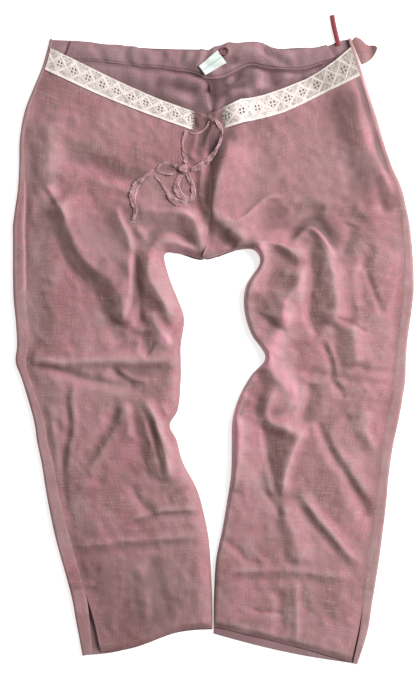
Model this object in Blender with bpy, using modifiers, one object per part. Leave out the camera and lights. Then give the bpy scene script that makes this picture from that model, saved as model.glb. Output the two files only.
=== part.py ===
"""Maternity trousers of thin linen, laid flat on their back with the front up.

The waist lies toward +Y and the hems toward -Y, and the wearer's right leg is at -X. The table is the
plane z = 0. Every size in the tables is in millimetres and is turned to metres where a mesh is made.
Each leg has a front and a back panel. The back panel lies on the table and rolls over the outer edge to
a side seam on the upper side. The front panel lies on it, with its folds.
"""

import math
from collections import namedtuple

import bmesh
import bpy
import numpy as np
from mathutils import Vector
from mathutils.bvhtree import BVHTree

MM = 0.001

# Cloth and clearances
CLOTH = 1.2
SEAM_GAP = 0.3
LACE = 1.0
LACE_LIFT = 0.5
LACE_START = 0.09
CASING = 1.2
REST_GAP = 0.4

# Heights of the upper cloth above the table, at places along Y
HEIGHT_PLACES = (-470, -430, -390, -300, -120, 100, 240, 330, 440)
LOFT_HEIGHTS = (7.0, 8.5, 11.0, 13.0, 14.0, 15.5, 14.5, 11.5, 8.0)
SIDE_HEIGHTS = (6.2, 6.8, 7.6, 8.4, 9.0, 9.4, 8.8, 7.4, 6.6)
SIDE_SLOPE = 45.0
LOWEST_CLOTH = 4.8
INSEAM_HEIGHT = 3.0
INSEAM_ROUND = 14.0

# Where the grids have their lines, as shares of the way from the inner edge to the side
FRONT_SHARES = (0, 0.01, 0.03, 0.055, 0.09, 0.14, 0.2, 0.26, 0.32, 0.38, 0.44, 0.5, 0.56,
                0.62, 0.68, 0.74, 0.8, 0.86, 0.92, 0.975, 1)
BACK_SHARES = (0, 0.1, 0.3, 0.6, 0.85)
ROLL_STEPS = 4

# One line across a leg. front and back are its inner ends: the centre seams down to the crotch, and the
# inseam below it. side is the outline. roll is how far the back panel comes round to the side seam, slit
# how far the seam stands open, and bow and skew bend the line toward the hem. steps is the number of grid
# lines from here to the next section.
Section = namedtuple("Section", "name front_x front_y back_x back_y side_x side_y roll slit"
                                " front_bow front_skew back_bow steps")

RIGHT_LEG = (
    Section("waist", -6, 328, -4, 424, -237, 439, 5, 0, 6, 0, -4, 1),
    Section("lace middle", -5, 312, -4, 408, -243, 415, 5, 0, 6, 0, -4, 1),
    Section("lace foot", -5, 296, -4, 391, -250, 393, 5, 0, 4, 0, -4, 1),
    Section("yoke", -4, 271, -4, 350, -262, 364, 6, 0, 3, 0, 0, 2),
    Section("high hip", -3, 245, -4, 313, -274, 332, 7, 0, 0, 0, 0, 2),
    Section("hip", -2, 219, -4, 277, -281, 293, 7, 0, 0, 0, 0, 2),
    Section("low hip", -3, 192, -4, 240, -282, 253, 9, 0, 0, 0, 0, 2),
    Section("seat", -5, 164, -5, 204, -284, 218, 12, 0, -5, 0, -5, 2),
    Section("rise", -9, 138, -8, 163, -288, 190, 16, 0, -12, 0, -12, 1),
    Section("crotch", -12, 118, -12, 118, -291, 166, 18, 0, -20, 0, -20, 1),
    Section("fork", -42, 124, -42, 124, -291, 145, 18, 0, -14, 0, -14, 1),
    Section("fork end", -69, 125, -69, 125, -291, 122, 19, 0, -6, 0, -6, 2),
    Section("top of thigh", -64, 94, -64, 94, -291, 93, 19, 0, 0, 0, 0, 2),
    Section("thigh", -50, 58, -50, 58, -290, 58, 19, 0, 0, 0, 0, 2),
    Section("low thigh", -41, 30, -41, 30, -287, 28, 19, 0, 0, 0, 0, 2),
    Section("above knee", -46, -8, -46, -8, -285, -7, 18, 0, 0, 0, 0, 2),
    Section("knee", -46, -33, -46, -33, -287, -33, 16, 0, 0, 0, 0, 2),
    Section("below knee", -46, -59, -46, -59, -278, -58, 13, 0, 0, 0, 0, 2),
    Section("top of calf", -50, -101, -50, -101, -265, -101, 15, 0, 0, 0, 0, 2),
    Section("calf", -62, -125, -62, -125, -259, -126, 16, 0, 0, 0, 0, 2),
    Section("middle of calf", -52, -147, -52, -147, -256, -148, 16, 0, 0, 0, 0, 2),
    Section("low calf", -43, -179, -43, -179, -249, -182, 18, 0, 0, 0, 0, 2),
    Section("shin", -24, -215, -24, -215, -243, -220, 19, 0, 0, 0, 0, 2),
    Section("low shin", -14, -247, -14, -247, -237, -252, 20, 0, 0, 0, 0, 2),
    Section("ankle", -5, -294, -5, -294, -227, -297, 22, 0, 0, 0, 0, 3),
    Section("top of slit", -1, -363, -1, -363, -207, -369, 22, 0, 0, 0, 0, 2),
    Section("slit", 0, -393, 0, -393, -199, -410, 20, 6, -1, -2, -1, 2),
    Section("hem", 0, -417, 0, -418, -189, -459, 15, 12, -3, -5, -3, 0),
)

LEFT_LEG = (
    Section("waist", -6, 328, -4, 424, 202, 440, 5, 0, 15, 0, -4, 1),
    Section("lace middle", -5, 312, -4, 408, 211, 412, 5, 0, 13, 0, -4, 1),
    Section("lace foot", -5, 296, -4, 391, 220, 385, 5, 0, 12, 0, -4, 1),
    Section("yoke", -4, 271, -4, 350, 230, 353, 5, 0, 7, 0, 0, 2),
    Section("high hip", -3, 245, -4, 313, 240, 322, 6, 0, 3, 0, 0, 2),
    Section("hip", -2, 219, -4, 277, 250, 287, 6, 0, 0, 0, 0, 2),
    Section("low hip", -3, 192, -4, 240, 261, 254, 6, 0, 0, 0, 0, 2),
    Section("seat", -5, 164, -5, 204, 273, 222, 7, 0, -5, 0, -5, 2),
    Section("rise", -9, 138, -8, 163, 280, 193, 9, 0, -14, 0, -14, 1),
    Section("crotch", -12, 118, -12, 118, 285, 168, 12, 0, -26, 0, -26, 1),
    Section("fork", 30, 129, 30, 129, 288, 144, 13, 0, -20, 0, -20, 1),
    Section("fork end", 59, 131, 59, 131, 290, 118, 13, 0, -12, 0, -12, 2),
    Section("top of thigh", 69, 112, 69, 112, 291, 98, 15, 0, 0, 0, 0, 2),
    Section("thigh", 49, 78, 49, 78, 291, 71, 16, 0, 0, 0, 0, 2),
    Section("low thigh", 46, 45, 46, 45, 288, 42, 15, 0, 0, 0, 0, 2),
    Section("above knee", 56, 9, 56, 9, 283, 7, 15, 0, 0, 0, 0, 2),
    Section("knee", 77, -26, 77, -26, 280, -28, 15, 0, 0, 0, 0, 2),
    Section("below knee", 56, -53, 56, -53, 279, -58, 18, 0, 0, 0, 0, 2),
    Section("top of calf", 39, -84, 39, -84, 275, -85, 16, 0, 0, 0, 0, 2),
    Section("calf", 29, -118, 29, -118, 269, -118, 18, 0, 0, 0, 0, 2),
    Section("middle of calf", 28, -155, 28, -155, 261, -155, 16, 0, 0, 0, 0, 2),
    Section("low calf", 27, -196, 27, -196, 255, -196, 15, 0, 0, 0, 0, 2),
    Section("shin", 21, -237, 21, -237, 251, -239, 16, 0, 0, 0, 0, 2),
    Section("low shin", 14, -278, 14, -278, 246, -281, 17, 0, 0, 0, 0, 2),
    Section("ankle", 5, -322, 5, -322, 240, -326, 17, 0, 0, 0, 0, 3),
    Section("top of slit", 2, -372, 2, -372, 231, -382, 14, 0, -3, 0, 3, 2),
    Section("slit", 1.5, -398, 1.5, -401, 224, -424, 12, 2, -4, 0, 7, 2),
    Section("hem", 1.5, -420, 1.5, -430, 210, -469, 7, 3, -6, 0, 9, 0),
)

# A fold follows its points. Its height is above zero for a ridge and below for a trough, and it fades out
# over one width on the left of its direction and another on the right.
Fold = namedtuple("Fold", "name height left right points")

FOLDS = (
    Fold("right hip step", 10.5, 40, 19,
         ((-237, 217), (-226, 199), (-208, 169), (-199, 139), (-185, 118), (-173, 107))),
    Fold("right hip hollow", -6, 19, 17, ((-218, 280), (-164, 258), (-103, 236))),
    Fold("right groin ridge", 7.5, 16, 32, ((-135, 189), (-125, 160), (-119, 125), (-120, 58))),
    Fold("right groin trough", -6, 14, 14, ((-112, 148), (-111, 118), (-113, 66))),
    Fold("crotch arc", 9, 19, 18, ((-87, 193), (-27, 192), (-12, 172), (-5, 148), (-4, 129))),
    Fold("crotch trough", -7.5, 16, 16,
         ((-96, 148), (-75, 169), (-50, 176), (-28, 160), (-15, 135))),
    Fold("right fork trough", -6, 12, 12, ((-91, 132), (-75, 147), (-50, 148), (-31, 139), (-11, 132))),
    Fold("right inner lobe", 7.5, 22, 24, ((-80, 113), (-65, 80), (-59, 58))),
    Fold("right knee upper trough", -6, 14, 14,
         ((-280, -27), (-243, -17), (-185, -24), (-142, -12), (-109, -7))),
    Fold("right knee ridge", 6, 19, 17, ((-240, -30), (-180, -42), (-110, -46))),
    Fold("right knee lower trough", -7.5, 15, 18,
         ((-280, -33), (-236, -42), (-209, -49), (-154, -62), (-100, -64))),
    Fold("right knee inner trough", -6, 14, 14, ((-142, -45), (-95, -38), (-49, -30))),
    Fold("right thigh pit", -6, 13, 13, ((-88, -10), (-62, -4), (-44, 26))),
    Fold("right shin crease", -6, 13, 13,
         ((-204, -58), (-212, -104), (-208, -139), (-214, -173), (-220, -205))),
    Fold("right shin valley", -7.5, 19, 19, ((-138, -82), (-145, -125), (-167, -151), (-185, -173))),
    Fold("right calf ridge", 7.5, 22, 24, ((-125, -97), (-128, -146), (-120, -185))),
    Fold("right calf valley", -7.5, 19, 16, ((-109, -88), (-96, -129), (-83, -162), (-71, -205))),
    Fold("right ankle crease", -6, 14, 14,
         ((-208, -313), (-150, -306), (-91, -300), (-23, -296))),
    Fold("right ankle fold", 4.5, 17, 14, ((-108, -262), (-60, -256), (-17, -253))),
    Fold("right hem valley", -5, 14, 14, ((-87, -307), (-71, -366), (-65, -410))),
    Fold("centre front overhang", 12, 35, 14,
         ((36, 310), (18, 281), (9, 242), (3, 188), (8, 172), (26, 166))),
    Fold("centre front valley", -4.5, 13, 13, ((18, 300), (2, 255), (-6, 190))),
    Fold("left hip crease", -7.5, 16, 16, ((24, 174), (47, 182), (63, 193), (79, 205), (100, 207))),
    Fold("left arch trough", -7.5, 16, 16,
         ((109, 137), (122, 154), (134, 174), (145, 176), (157, 164), (169, 148), (185, 125))),
    Fold("left arch ridge", 7.5, 18, 18, ((128, 134), (141, 156), (157, 145), (175, 121))),
    Fold("left thigh valley", -10.5, 18, 18, ((145, 145), (151, 106), (145, 58), (150, 20), (158, 4))),
    Fold("left thigh ridge", 9, 20, 20,
         ((139, 115), (131, 58), (113, 40), (97, 14), (84, -11), (97, -37), (118, -62), (128, -91))),
    Fold("left thigh facet", 6, 17, 17, ((87, 145), (129, 112))),
    Fold("left thigh crease", -6, 13, 13, ((97, 58), (123, 85))),
    Fold("left knee ridge", 7.5, 19, 18, ((30, -98), (72, -103), (93, -115), (128, -124))),
    Fold("left knee hollow", -7.5, 27, 27, ((91, -132), (108, -165), (112, -195))),
    Fold("left knee pocket", -7.5, 16, 16, ((135, -106), (158, -72))),
    Fold("left outer crease", -4.5, 13, 13, ((161, -7), (173, -37), (175, -62), (191, -83))),
    Fold("left side crease", -4.5, 13, 13, ((214, -45), (262, -45))),
    Fold("left shin valley", -7.5, 19, 19, ((155, -107), (164, -148), (177, -179), (193, -205))),
    Fold("left calf valley", -6, 14, 14, ((78, -218), (100, -255))),
    Fold("left calf ridge", 6, 16, 16, ((133, -228), (146, -252), (191, -301), (221, -323))),
    Fold("left side valley", -6, 16, 16, ((191, -212), (234, -265))),
    Fold("left hem crease", -4.5, 14, 14, ((20, -348), (116, -350), (202, -361))),
    Fold("left hem press", -4, 13, 13, ((125, -350), (125, -446))),
    Fold("left inner crease", -6, 14, 14, ((16, -288), (29, -303), (48, -320))),
)
FOLD_BENDS = 5
FOLD_FADE = 0.22
SIDE_FOLD_SHARE = 0.5

# The elastic casing inside the back waist, with its gathers
CASING_REACH = (-0.88, 0.84)
CASING_COLUMNS = 74
CASING_SHARES = (0.03, 0.5, 1.0)
GATHERS = 27
GATHER_HEIGHT = 2.4
GATHER_FADE = 30.0
GATHER_DRIFT, GATHER_DRIFT_RATE = 0.9, 5.3

# What is sewn to the waist
LABEL_WIDTH, LABEL_LENGTH, LABEL_THICK = 22.0, 34.0, 0.8
LABEL_PLACE, LABEL_TURN = (-1.0, 403.0), math.radians(40)
RING_PLACE, RING_RADIUS, RING_WIRE = (17.0, 417.5), 4.6, 1.6
RING_PARTS, WIRE_PARTS = 18, 8
RIBBON_WIDTH, RIBBON_THICK, RIBBON_SPACE = 7.0, 0.7, 0.6
RIBBON_ROOT, RIBBON_END = (184.0, 429.0), (175.0, 473.0)
RIBBON_ROOT_HEIGHT, RIBBON_END_HEIGHT = 2.3, 0.9
RIBBON_ON_CLOTH = 14.0
TAB_THICK = 2.4
TAB_POINTS = ((211, 441), (217, 438), (226, 430), (235, 429), (240.5, 425), (235, 413), (228, 406),
              (220, 402))
TAB_INNER_SHARES = (0.9, 0.6, 0.3, 0.1)
TAB_GAP = 0.4

# The drawstring, tied in a bow below the waist
CORD_RADIUS, THIN_CORD_RADIUS = 2.4, 1.2
CORD_SPACING, THIN_CORD_SPACING = 9.0, 4.5
CORD_BENDS = 12
CORD_ROUNDING = 2
KNOT_PLACE, KNOT_SIZE = (-42.5, 247.5), (7.0, 5.6, 4.2)
KNOT_PARTS, KNOT_RINGS = 12, 8
CORD_ROUTES = {
    "drawstring_right": (CORD_RADIUS, ((-38, 303), (-42, 292), (-44, 281), (-42, 270), (-39, 262),
                                       (-41, 256.5))),
    "drawstring_left": (CORD_RADIUS, ((4, 318), (11, 309), (13, 294), (6, 276), (-8, 259), (-21, 250),
                                      (-32, 246.5))),
    "bow_loop_right": (CORD_RADIUS, ((-52.5, 251.5), (-62, 256), (-75, 254), (-81, 248), (-75, 242.5),
                                     (-62, 240.5), (-52.5, 244))),
    "bow_loop_left": (CORD_RADIUS, ((-46, 238.5), (-54, 232), (-57, 222), (-50, 211), (-38, 205),
                                    (-26, 208), (-20, 219), (-22, 231), (-33, 240.5))),
    "bow_tail_right": (CORD_RADIUS, ((-87, 246.5), (-94, 240), (-101, 235), (-108, 228), (-113, 220),
                                     (-116, 208), (-115, 198), (-112, 190), (-113, 181), (-115, 173))),
    "bow_tail_left": (CORD_RADIUS, ((-84, 238), (-79, 231), (-72, 223), (-65, 213), (-60, 204),
                                    (-50, 198.5), (-38, 197))),
    "waist_cord": (THIN_CORD_RADIUS, ((-32.5, 300.5), (-28, 299), (-20, 300), (-14, 304), (-8, 310),
                                      (-5, 317))),
}

# Where a cord feels for the cloth below it, from above everything
FEELERS, FEELER_REACH = 8, 1.1
ABOVE_ALL = 200.0

# Finishes: linear RGB colour and roughness
LINEN = ((0.372, 0.209, 0.217), 0.9)
LINEN_INSIDE = ((0.30, 0.17, 0.18), 0.9)
LACE_CREAM = ((0.80, 0.72, 0.66), 0.9)
LABEL_WHITE = ((0.78, 0.82, 0.79), 0.6)
RIBBON_RED = ((0.32, 0.03, 0.04), 0.5)
RING_BROWN = ((0.13, 0.03, 0.03), 0.7)


def smooth_step(share):
    share = np.clip(share, 0, 1)
    return share * share * (3 - 2 * share)


def between(before, start, end, after, share):
    """A point on the smooth curve through four others, between the middle two."""
    return 0.5 * (2 * start + (end - before) * share
                  + (2 * before - 5 * start + 4 * end - after) * share**2
                  + (3 * start - before - 3 * end + after) * share**3)


def smooth_path(points, bends):
    points = np.asarray(points, float)
    padded = np.vstack([points[:1], points, points[-1:]])
    path = [between(*padded[i:i + 4], k / bends) for i in range(len(points) - 1) for k in range(bends)]
    return np.array(path + [points[-1]])


def grid_lines(sections):
    """The sections, with smooth lines worked out between them."""
    values = np.array([section[1:-1] for section in sections], float)
    padded = np.vstack([values[:1], values, values[-1:]])
    lines = []
    for i, section in enumerate(sections[:-1]):
        for k in range(section.steps):
            worked_out = between(*padded[i:i + 4], k / section.steps)
            lines.append(Section(section.name, *worked_out, 1))
    lines.append(sections[-1])
    return lines


def seam_and_inward(line):
    """Where the side seam crosses a line, and the way from the side to the leg's inner edge."""
    side = np.array([line.side_x, line.side_y], float)
    inward = np.array([line.front_x, line.front_y]) - side
    inward /= np.linalg.norm(inward)
    return side + inward * line.roll, inward


def nearest_on(path, x, y):
    """Each place's distance from a path, its share of the way along it, and whether it is on the left."""
    start, step = path[:-1], np.diff(path, axis=0)
    offset_x = x[..., None] - start[:, 0]
    offset_y = y[..., None] - start[:, 1]
    share = (offset_x * step[:, 0] + offset_y * step[:, 1]) / (step**2).sum(1)
    share = np.clip(share, 0, 1)
    distance = np.hypot(offset_x - share * step[:, 0], offset_y - share * step[:, 1])
    nearest = distance.argmin(-1)[..., None]
    cross = step[:, 0] * offset_y - step[:, 1] * offset_x
    along = (nearest + np.take_along_axis(share, nearest, -1))[..., 0] / len(step)
    on_left = np.take_along_axis(cross, nearest, -1)[..., 0] > 0
    return np.take_along_axis(distance, nearest, -1)[..., 0], along, on_left


def fold_heights(x, y):
    total = np.zeros_like(x, dtype=float)
    for fold in FOLDS:
        distance, along, on_left = nearest_on(smooth_path(fold.points, FOLD_BENDS), x, y)
        width = np.where(on_left, fold.left, fold.right)
        fade = smooth_step(np.minimum(along, 1 - along) / FOLD_FADE)
        total += fold.height * smooth_step(1 - distance / width) * fade
    return total


def side_height(line):
    """The height of the upper cloth at a line's side seam."""
    seam, _ = seam_and_inward(line)
    plain = np.interp(seam[1], HEIGHT_PLACES, SIDE_HEIGHTS)
    folded = plain + SIDE_FOLD_SHARE * float(fold_heights(seam[:1], seam[1:])[0])
    return max(folded, LOWEST_CLOTH)


def front_line(line, side):
    """The front panel's places along one line, from its inner edge to the side seam, and their distance
    from that seam. side is -1 for the right leg and 1 for the left."""
    seam, inward = seam_and_inward(line)
    outer = seam + inward * (SEAM_GAP + max(line.slit, 0))
    inner = np.array([line.front_x + side * SEAM_GAP / 2, line.front_y])
    share = np.array(FRONT_SHARES)
    places = inner + (outer - inner) * share[:, None]
    places[:, 1] -= line.front_bow * np.sin(math.pi * share)
    places[:, 1] -= line.front_skew * np.sin(2 * math.pi * share)
    return places, (1 - share) * np.linalg.norm(outer - inner)


def front_points(lines, side):
    """The front panel's upper surface as a grid of points."""
    flat = [front_line(line, side) for line in lines]
    x = np.array([places[:, 0] for places, _ in flat])
    y = np.array([places[:, 1] for places, _ in flat])
    from_side = np.array([distance for _, distance in flat])
    split = [i for i, line in enumerate(lines) if line.name == "crotch"][0]
    inseam = np.array([(line.front_x, line.front_y) for line in lines[split:]], float)

    loft = np.interp(y, HEIGHT_PLACES, LOFT_HEIGHTS)
    low = np.interp(y, HEIGHT_PLACES, SIDE_HEIGHTS)
    height = low + (loft - low) * smooth_step(from_side / SIDE_SLOPE) + fold_heights(x, y)
    height = np.maximum(height, LOWEST_CLOTH)
    seam_heights = np.array([side_height(line) for line in lines])
    height[:, -1] = seam_heights
    height[:, -2] = seam_heights
    height[:split, 1] = height[:split, 0]

    from_inseam, _, _ = nearest_on(inseam, x, y)
    inward = 1 - np.clip(from_inseam / INSEAM_ROUND, 0, 1)
    height = INSEAM_HEIGHT + (height - INSEAM_HEIGHT) * np.sqrt(1 - inward**2)
    return np.stack([x, y, height], -1)


def back_flat_place(line, side, share):
    """A place of the back panel on the table, share of the way from its inner edge to the side's roll."""
    _, inward = seam_and_inward(line)
    outer = np.array([line.side_x, line.side_y]) + inward * side_height(line) / 2
    inner = np.array([line.back_x + side * SEAM_GAP / 2, line.back_y])
    place = inner + (outer - inner) * share
    place[1] -= (line.back_bow * math.sin(math.pi * share)
                 + line.front_skew * math.sin(2 * math.pi * share))
    return place


def back_points(lines, side):
    """The back panel's outer surface: flat on the table, round the outer edge and over to the seam."""
    grid = []
    for line in lines:
        seam, inward = seam_and_inward(line)
        radius = side_height(line) / 2
        edge = np.array([line.side_x, line.side_y]) + inward * radius
        points = [(*back_flat_place(line, side, share), 0.0) for share in BACK_SHARES]
        for k in range(ROLL_STEPS + 1):
            turn = math.pi * k / ROLL_STEPS
            out = edge - inward * radius * math.sin(turn)
            points.append((*out, radius * (1 - math.cos(turn))))
        points.append((*((edge + seam) / 2), 2 * radius))
        points.append((*seam, 2 * radius))
        grid.append(points)
    return np.array(grid)


def casing_points(lines_right, lines_left):
    """The gathered casing, on the inside of the back waist from one side to the other."""
    low, high = CASING_REACH
    grid = []
    for down in CASING_SHARES:
        row = []
        for k in range(CASING_COLUMNS + 1):
            reach = low + (high - low) * k / CASING_COLUMNS
            side = -1 if reach < 0 else 1
            lines = lines_right if side < 0 else lines_left
            top = back_flat_place(lines[0], side, abs(reach))
            foot = back_flat_place(lines[2], side, abs(reach))
            x, y = top + (foot - top) * down
            front, _ = front_line(lines[0], side)
            edge_y = np.interp(abs(x), np.abs(front[:, 0]), front[:, 1])
            shown = smooth_step((y - edge_y) / GATHER_FADE)
            drift = GATHER_DRIFT * math.sin(GATHER_DRIFT_RATE * reach)
            wave = math.sin(2 * math.pi * GATHERS * k / CASING_COLUMNS + drift)
            height = CLOTH + REST_GAP + CASING + GATHER_HEIGHT * shown * (0.5 + 0.5 * wave)
            row.append((x, y, height))
        grid.append(row)
    return np.array(grid)


def material(name, finish):
    colour, roughness = finish
    made = bpy.data.materials.new(name)
    made.use_nodes = True
    shader = made.node_tree.nodes["Principled BSDF"]
    shader.inputs["Base Color"].default_value = (*colour, 1)
    shader.inputs["Roughness"].default_value = roughness
    made.diffuse_color = (*colour, 1)
    return made


def add_object(name, data, finish):
    made = bpy.data.objects.new(name, data)
    made.data.materials.append(material(name + "_finish", finish))
    garment.objects.link(made)
    return made


def cloth_sheet(name, grid, thickness, outside_up, finish, grow_out=False):
    """A wall of cloth on a grid of points, which are its outer surface unless it grows out of them.
    outside_up says whether the outer side of the grid's first corner faces up."""
    faces_up = np.cross(grid[1, 0] - grid[0, 0], grid[0, 1] - grid[0, 0])[2] > 0
    if faces_up != outside_up:
        grid = grid[:, ::-1]
    rows, columns = grid.shape[:2]
    mesh = bpy.data.meshes.new(name)
    cloth = bmesh.new()
    points = [[cloth.verts.new(Vector(place) * MM) for place in row] for row in grid]
    for i in range(rows - 1):
        for j in range(columns - 1):
            cloth.faces.new((points[i][j], points[i + 1][j], points[i + 1][j + 1], points[i][j + 1]))
    cloth.to_mesh(mesh)
    cloth.free()
    mesh.shade_smooth()
    made = add_object(name, mesh, finish)
    wall = made.modifiers.new("Cloth", "SOLIDIFY")
    wall.thickness = thickness * MM
    wall.offset = 1 if grow_out else -1
    wall.use_even_offset = False
    return made


def lifted(grid, lift):
    """A grid of points moved up, square to the surface that it makes."""
    along = np.gradient(grid, axis=0)
    across = np.gradient(grid, axis=1)
    out = np.cross(along, across)
    out /= np.linalg.norm(out, axis=-1, keepdims=True)
    out *= np.sign(out[..., 2:3])
    return grid + out * lift


def resting_height(surfaces, x, y, radius):
    """The highest cloth under a round cord at one place."""
    highest = 0.0
    places = [(x, y)]
    for k in range(FEELERS):
        turn = 2 * math.pi * k / FEELERS
        reach = FEELER_REACH * radius
        places.append((x + reach * math.cos(turn), y + reach * math.sin(turn)))
    for place in places:
        start = Vector((*place, ABOVE_ALL)) * MM
        for surface in surfaces:
            hit, _, _, _ = surface.ray_cast(start, Vector((0, 0, -1)))
            if hit:
                highest = max(highest, hit.z / MM)
    return highest


def evenly_spaced(points, spacing):
    fine = smooth_path(points, CORD_BENDS)
    travelled = np.concatenate([[0], np.cumsum(np.linalg.norm(np.diff(fine, axis=0), axis=1))])
    count = max(4, round(travelled[-1] / spacing))
    wanted = np.linspace(0, travelled[-1], count + 1)
    return np.stack([np.interp(wanted, travelled, fine[:, i]) for i in (0, 1)], -1)


def add_cord(name, radius, route, surfaces):
    """A round cord on the cloth, along a smooth curve through its route."""
    places = evenly_spaced(route, CORD_SPACING if radius > THIN_CORD_RADIUS else THIN_CORD_SPACING)
    floor = np.array([resting_height(surfaces, x, y, radius) for x, y in places])
    padded = np.pad(floor, 1, mode="edge")
    raised = np.maximum(np.maximum(padded[:-2], padded[2:]), floor)
    padded = np.pad(raised, 1, mode="edge")
    eased = (padded[:-2] + 2 * raised + padded[2:]) / 4
    heights = np.maximum(eased, floor) + radius + REST_GAP
    data = bpy.data.curves.new(name, "CURVE")
    data.dimensions = "3D"
    data.bevel_depth = radius * MM
    data.bevel_resolution = CORD_ROUNDING
    data.use_fill_caps = True
    spline = data.splines.new("POLY")
    spline.points.add(len(places) - 1)
    for point, (x, y), z in zip(spline.points, places, heights):
        point.co = (x * MM, y * MM, z * MM, 1)
    return add_object(name, data, LINEN)


def add_knot(surfaces):
    x, y = KNOT_PLACE
    rest = resting_height(surfaces, x, y, KNOT_SIZE[0])
    mesh = bpy.data.meshes.new("bow_knot")
    ball = bmesh.new()
    bmesh.ops.create_uvsphere(ball, u_segments=KNOT_PARTS, v_segments=KNOT_RINGS, radius=1)
    bmesh.ops.scale(ball, vec=Vector(KNOT_SIZE) * MM, verts=ball.verts)
    ball.to_mesh(mesh)
    ball.free()
    knot = add_object("bow_knot", mesh, LINEN)
    knot.location = Vector((x, y, rest + REST_GAP + KNOT_SIZE[2])) * MM


def add_label(rest):
    bpy.ops.mesh.primitive_cube_add(size=1)
    label = bpy.context.object
    label.name = label.data.name = "care_label"
    label.scale = Vector((LABEL_LENGTH, LABEL_WIDTH, LABEL_THICK)) * MM
    bpy.ops.object.transform_apply(location=False, rotation=False, scale=True)
    label.location = Vector((*LABEL_PLACE, rest + REST_GAP + LABEL_THICK / 2)) * MM
    label.rotation_euler.z = LABEL_TURN
    move_to_garment(label, LABEL_WHITE)


def add_ring(rest):
    bpy.ops.mesh.primitive_torus_add(major_radius=RING_RADIUS * MM, minor_radius=RING_WIRE * MM,
                                     major_segments=RING_PARTS, minor_segments=WIRE_PARTS)
    ring = bpy.context.object
    ring.name = ring.data.name = "label_loop"
    ring.location = Vector((*RING_PLACE, rest + REST_GAP + RING_WIRE)) * MM
    move_to_garment(ring, RING_BROWN)


def move_to_garment(made, finish):
    for other in list(made.users_collection):
        other.objects.unlink(made)
    garment.objects.link(made)
    made.data.materials.clear()
    made.data.materials.append(material(made.name + "_finish", finish))


def add_ribbon():
    """The hanging ribbon: a flat loop that comes out of the waist, with both layers side by side."""
    root, end = np.array(RIBBON_ROOT), np.array(RIBBON_END)
    along = (end - root) / np.linalg.norm(end - root)
    across = np.array([-along[1], along[0]]) * RIBBON_WIDTH / 2
    layer = RIBBON_THICK + RIBBON_SPACE
    over_edge = root + along * RIBBON_ON_CLOTH
    low = [(*root, RIBBON_ROOT_HEIGHT), (*over_edge, RIBBON_ROOT_HEIGHT), (*end, RIBBON_END_HEIGHT)]
    turn = [(*(end + along * layer / 2), RIBBON_END_HEIGHT + layer / 2)]
    high = [(x, y, z + layer) for x, y, z in reversed(low)]
    path = np.array(low + turn + high)
    grid = np.stack([path + (*across, 0), path - (*across, 0)])
    cloth_sheet("ribbon_loop", grid, RIBBON_THICK, False, RIBBON_RED, grow_out=True)


def add_tab(lines):
    """The loose tab at the top of the left side, beside the rolled edge of the back panel."""
    upper = np.array([lines[0].side_x, lines[0].side_y])
    lower = np.array([lines[1].side_x, lines[1].side_y])
    beside = np.array([TAB_GAP, 0])
    inner = [upper + (lower - upper) * (1 - share) + beside for share in TAB_INNER_SHARES]
    outline = list(TAB_POINTS) + list(reversed(inner))
    data = bpy.data.curves.new("side_tab", "CURVE")
    data.dimensions = "2D"
    data.fill_mode = "BOTH"
    data.extrude = TAB_THICK / 2 * MM
    spline = data.splines.new("POLY")
    spline.points.add(len(outline) - 1)
    spline.use_cyclic_u = True
    for point, (x, y) in zip(spline.points, outline):
        point.co = (x * MM, y * MM, 0, 1)
    tab = add_object("side_tab", data, LINEN)
    tab.location.z = TAB_THICK / 2 * MM


def add_panels(name, lines, side):
    front = front_points(lines, side)
    panels = [cloth_sheet("front_" + name, front, CLOTH, True, LINEN)]
    cloth_sheet("back_" + name, back_points(lines, side), CLOTH, False, LINEN_INSIDE)
    band = lifted(front, LACE_LIFT)[:3, FRONT_SHARES.index(LACE_START):]
    panels.append(cloth_sheet("lace_" + name, band, LACE, True, LACE_CREAM, grow_out=True))
    return panels


def surfaces_of(objects):
    bpy.context.view_layer.update()
    graph = bpy.context.evaluated_depsgraph_get()
    return [BVHTree.FromObject(made, graph) for made in objects]


for old in list(bpy.data.objects):
    bpy.data.objects.remove(old, do_unlink=True)
garment = bpy.data.collections.new("maternity_trousers")
bpy.context.scene.collection.children.link(garment)

right_lines, left_lines = grid_lines(RIGHT_LEG), grid_lines(LEFT_LEG)
upper_cloth = add_panels("right", right_lines, -1) + add_panels("left", left_lines, 1)
casing_grid = casing_points(right_lines, left_lines)
cloth_sheet("waist_casing", casing_grid, CASING, True, LINEN_INSIDE)
casing_top = CLOTH + REST_GAP + CASING + GATHER_HEIGHT
add_label(casing_top)
add_ring(casing_top)
add_ribbon()
add_tab(left_lines)
cloth_under_bow = surfaces_of(upper_cloth)
add_knot(cloth_under_bow)
for cord_name, (cord_radius, cord_route) in CORD_ROUTES.items():
    add_cord(cord_name, cord_radius, cord_route, cloth_under_bow)
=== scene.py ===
# Maternity trousers of washed linen, laid flat with the front up, seen from straight above.
# The waist lies toward +Y, the hems toward -Y, and the wearer's right leg is at -X. Sizes are in metres, but for the
# long tables of lines, creases, spots of painted light and shade, and tape routes, which say that they are in mm.
import math
import random

import bpy
import numpy as np
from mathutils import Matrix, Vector
from mathutils.bvhtree import BVHTree


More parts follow.
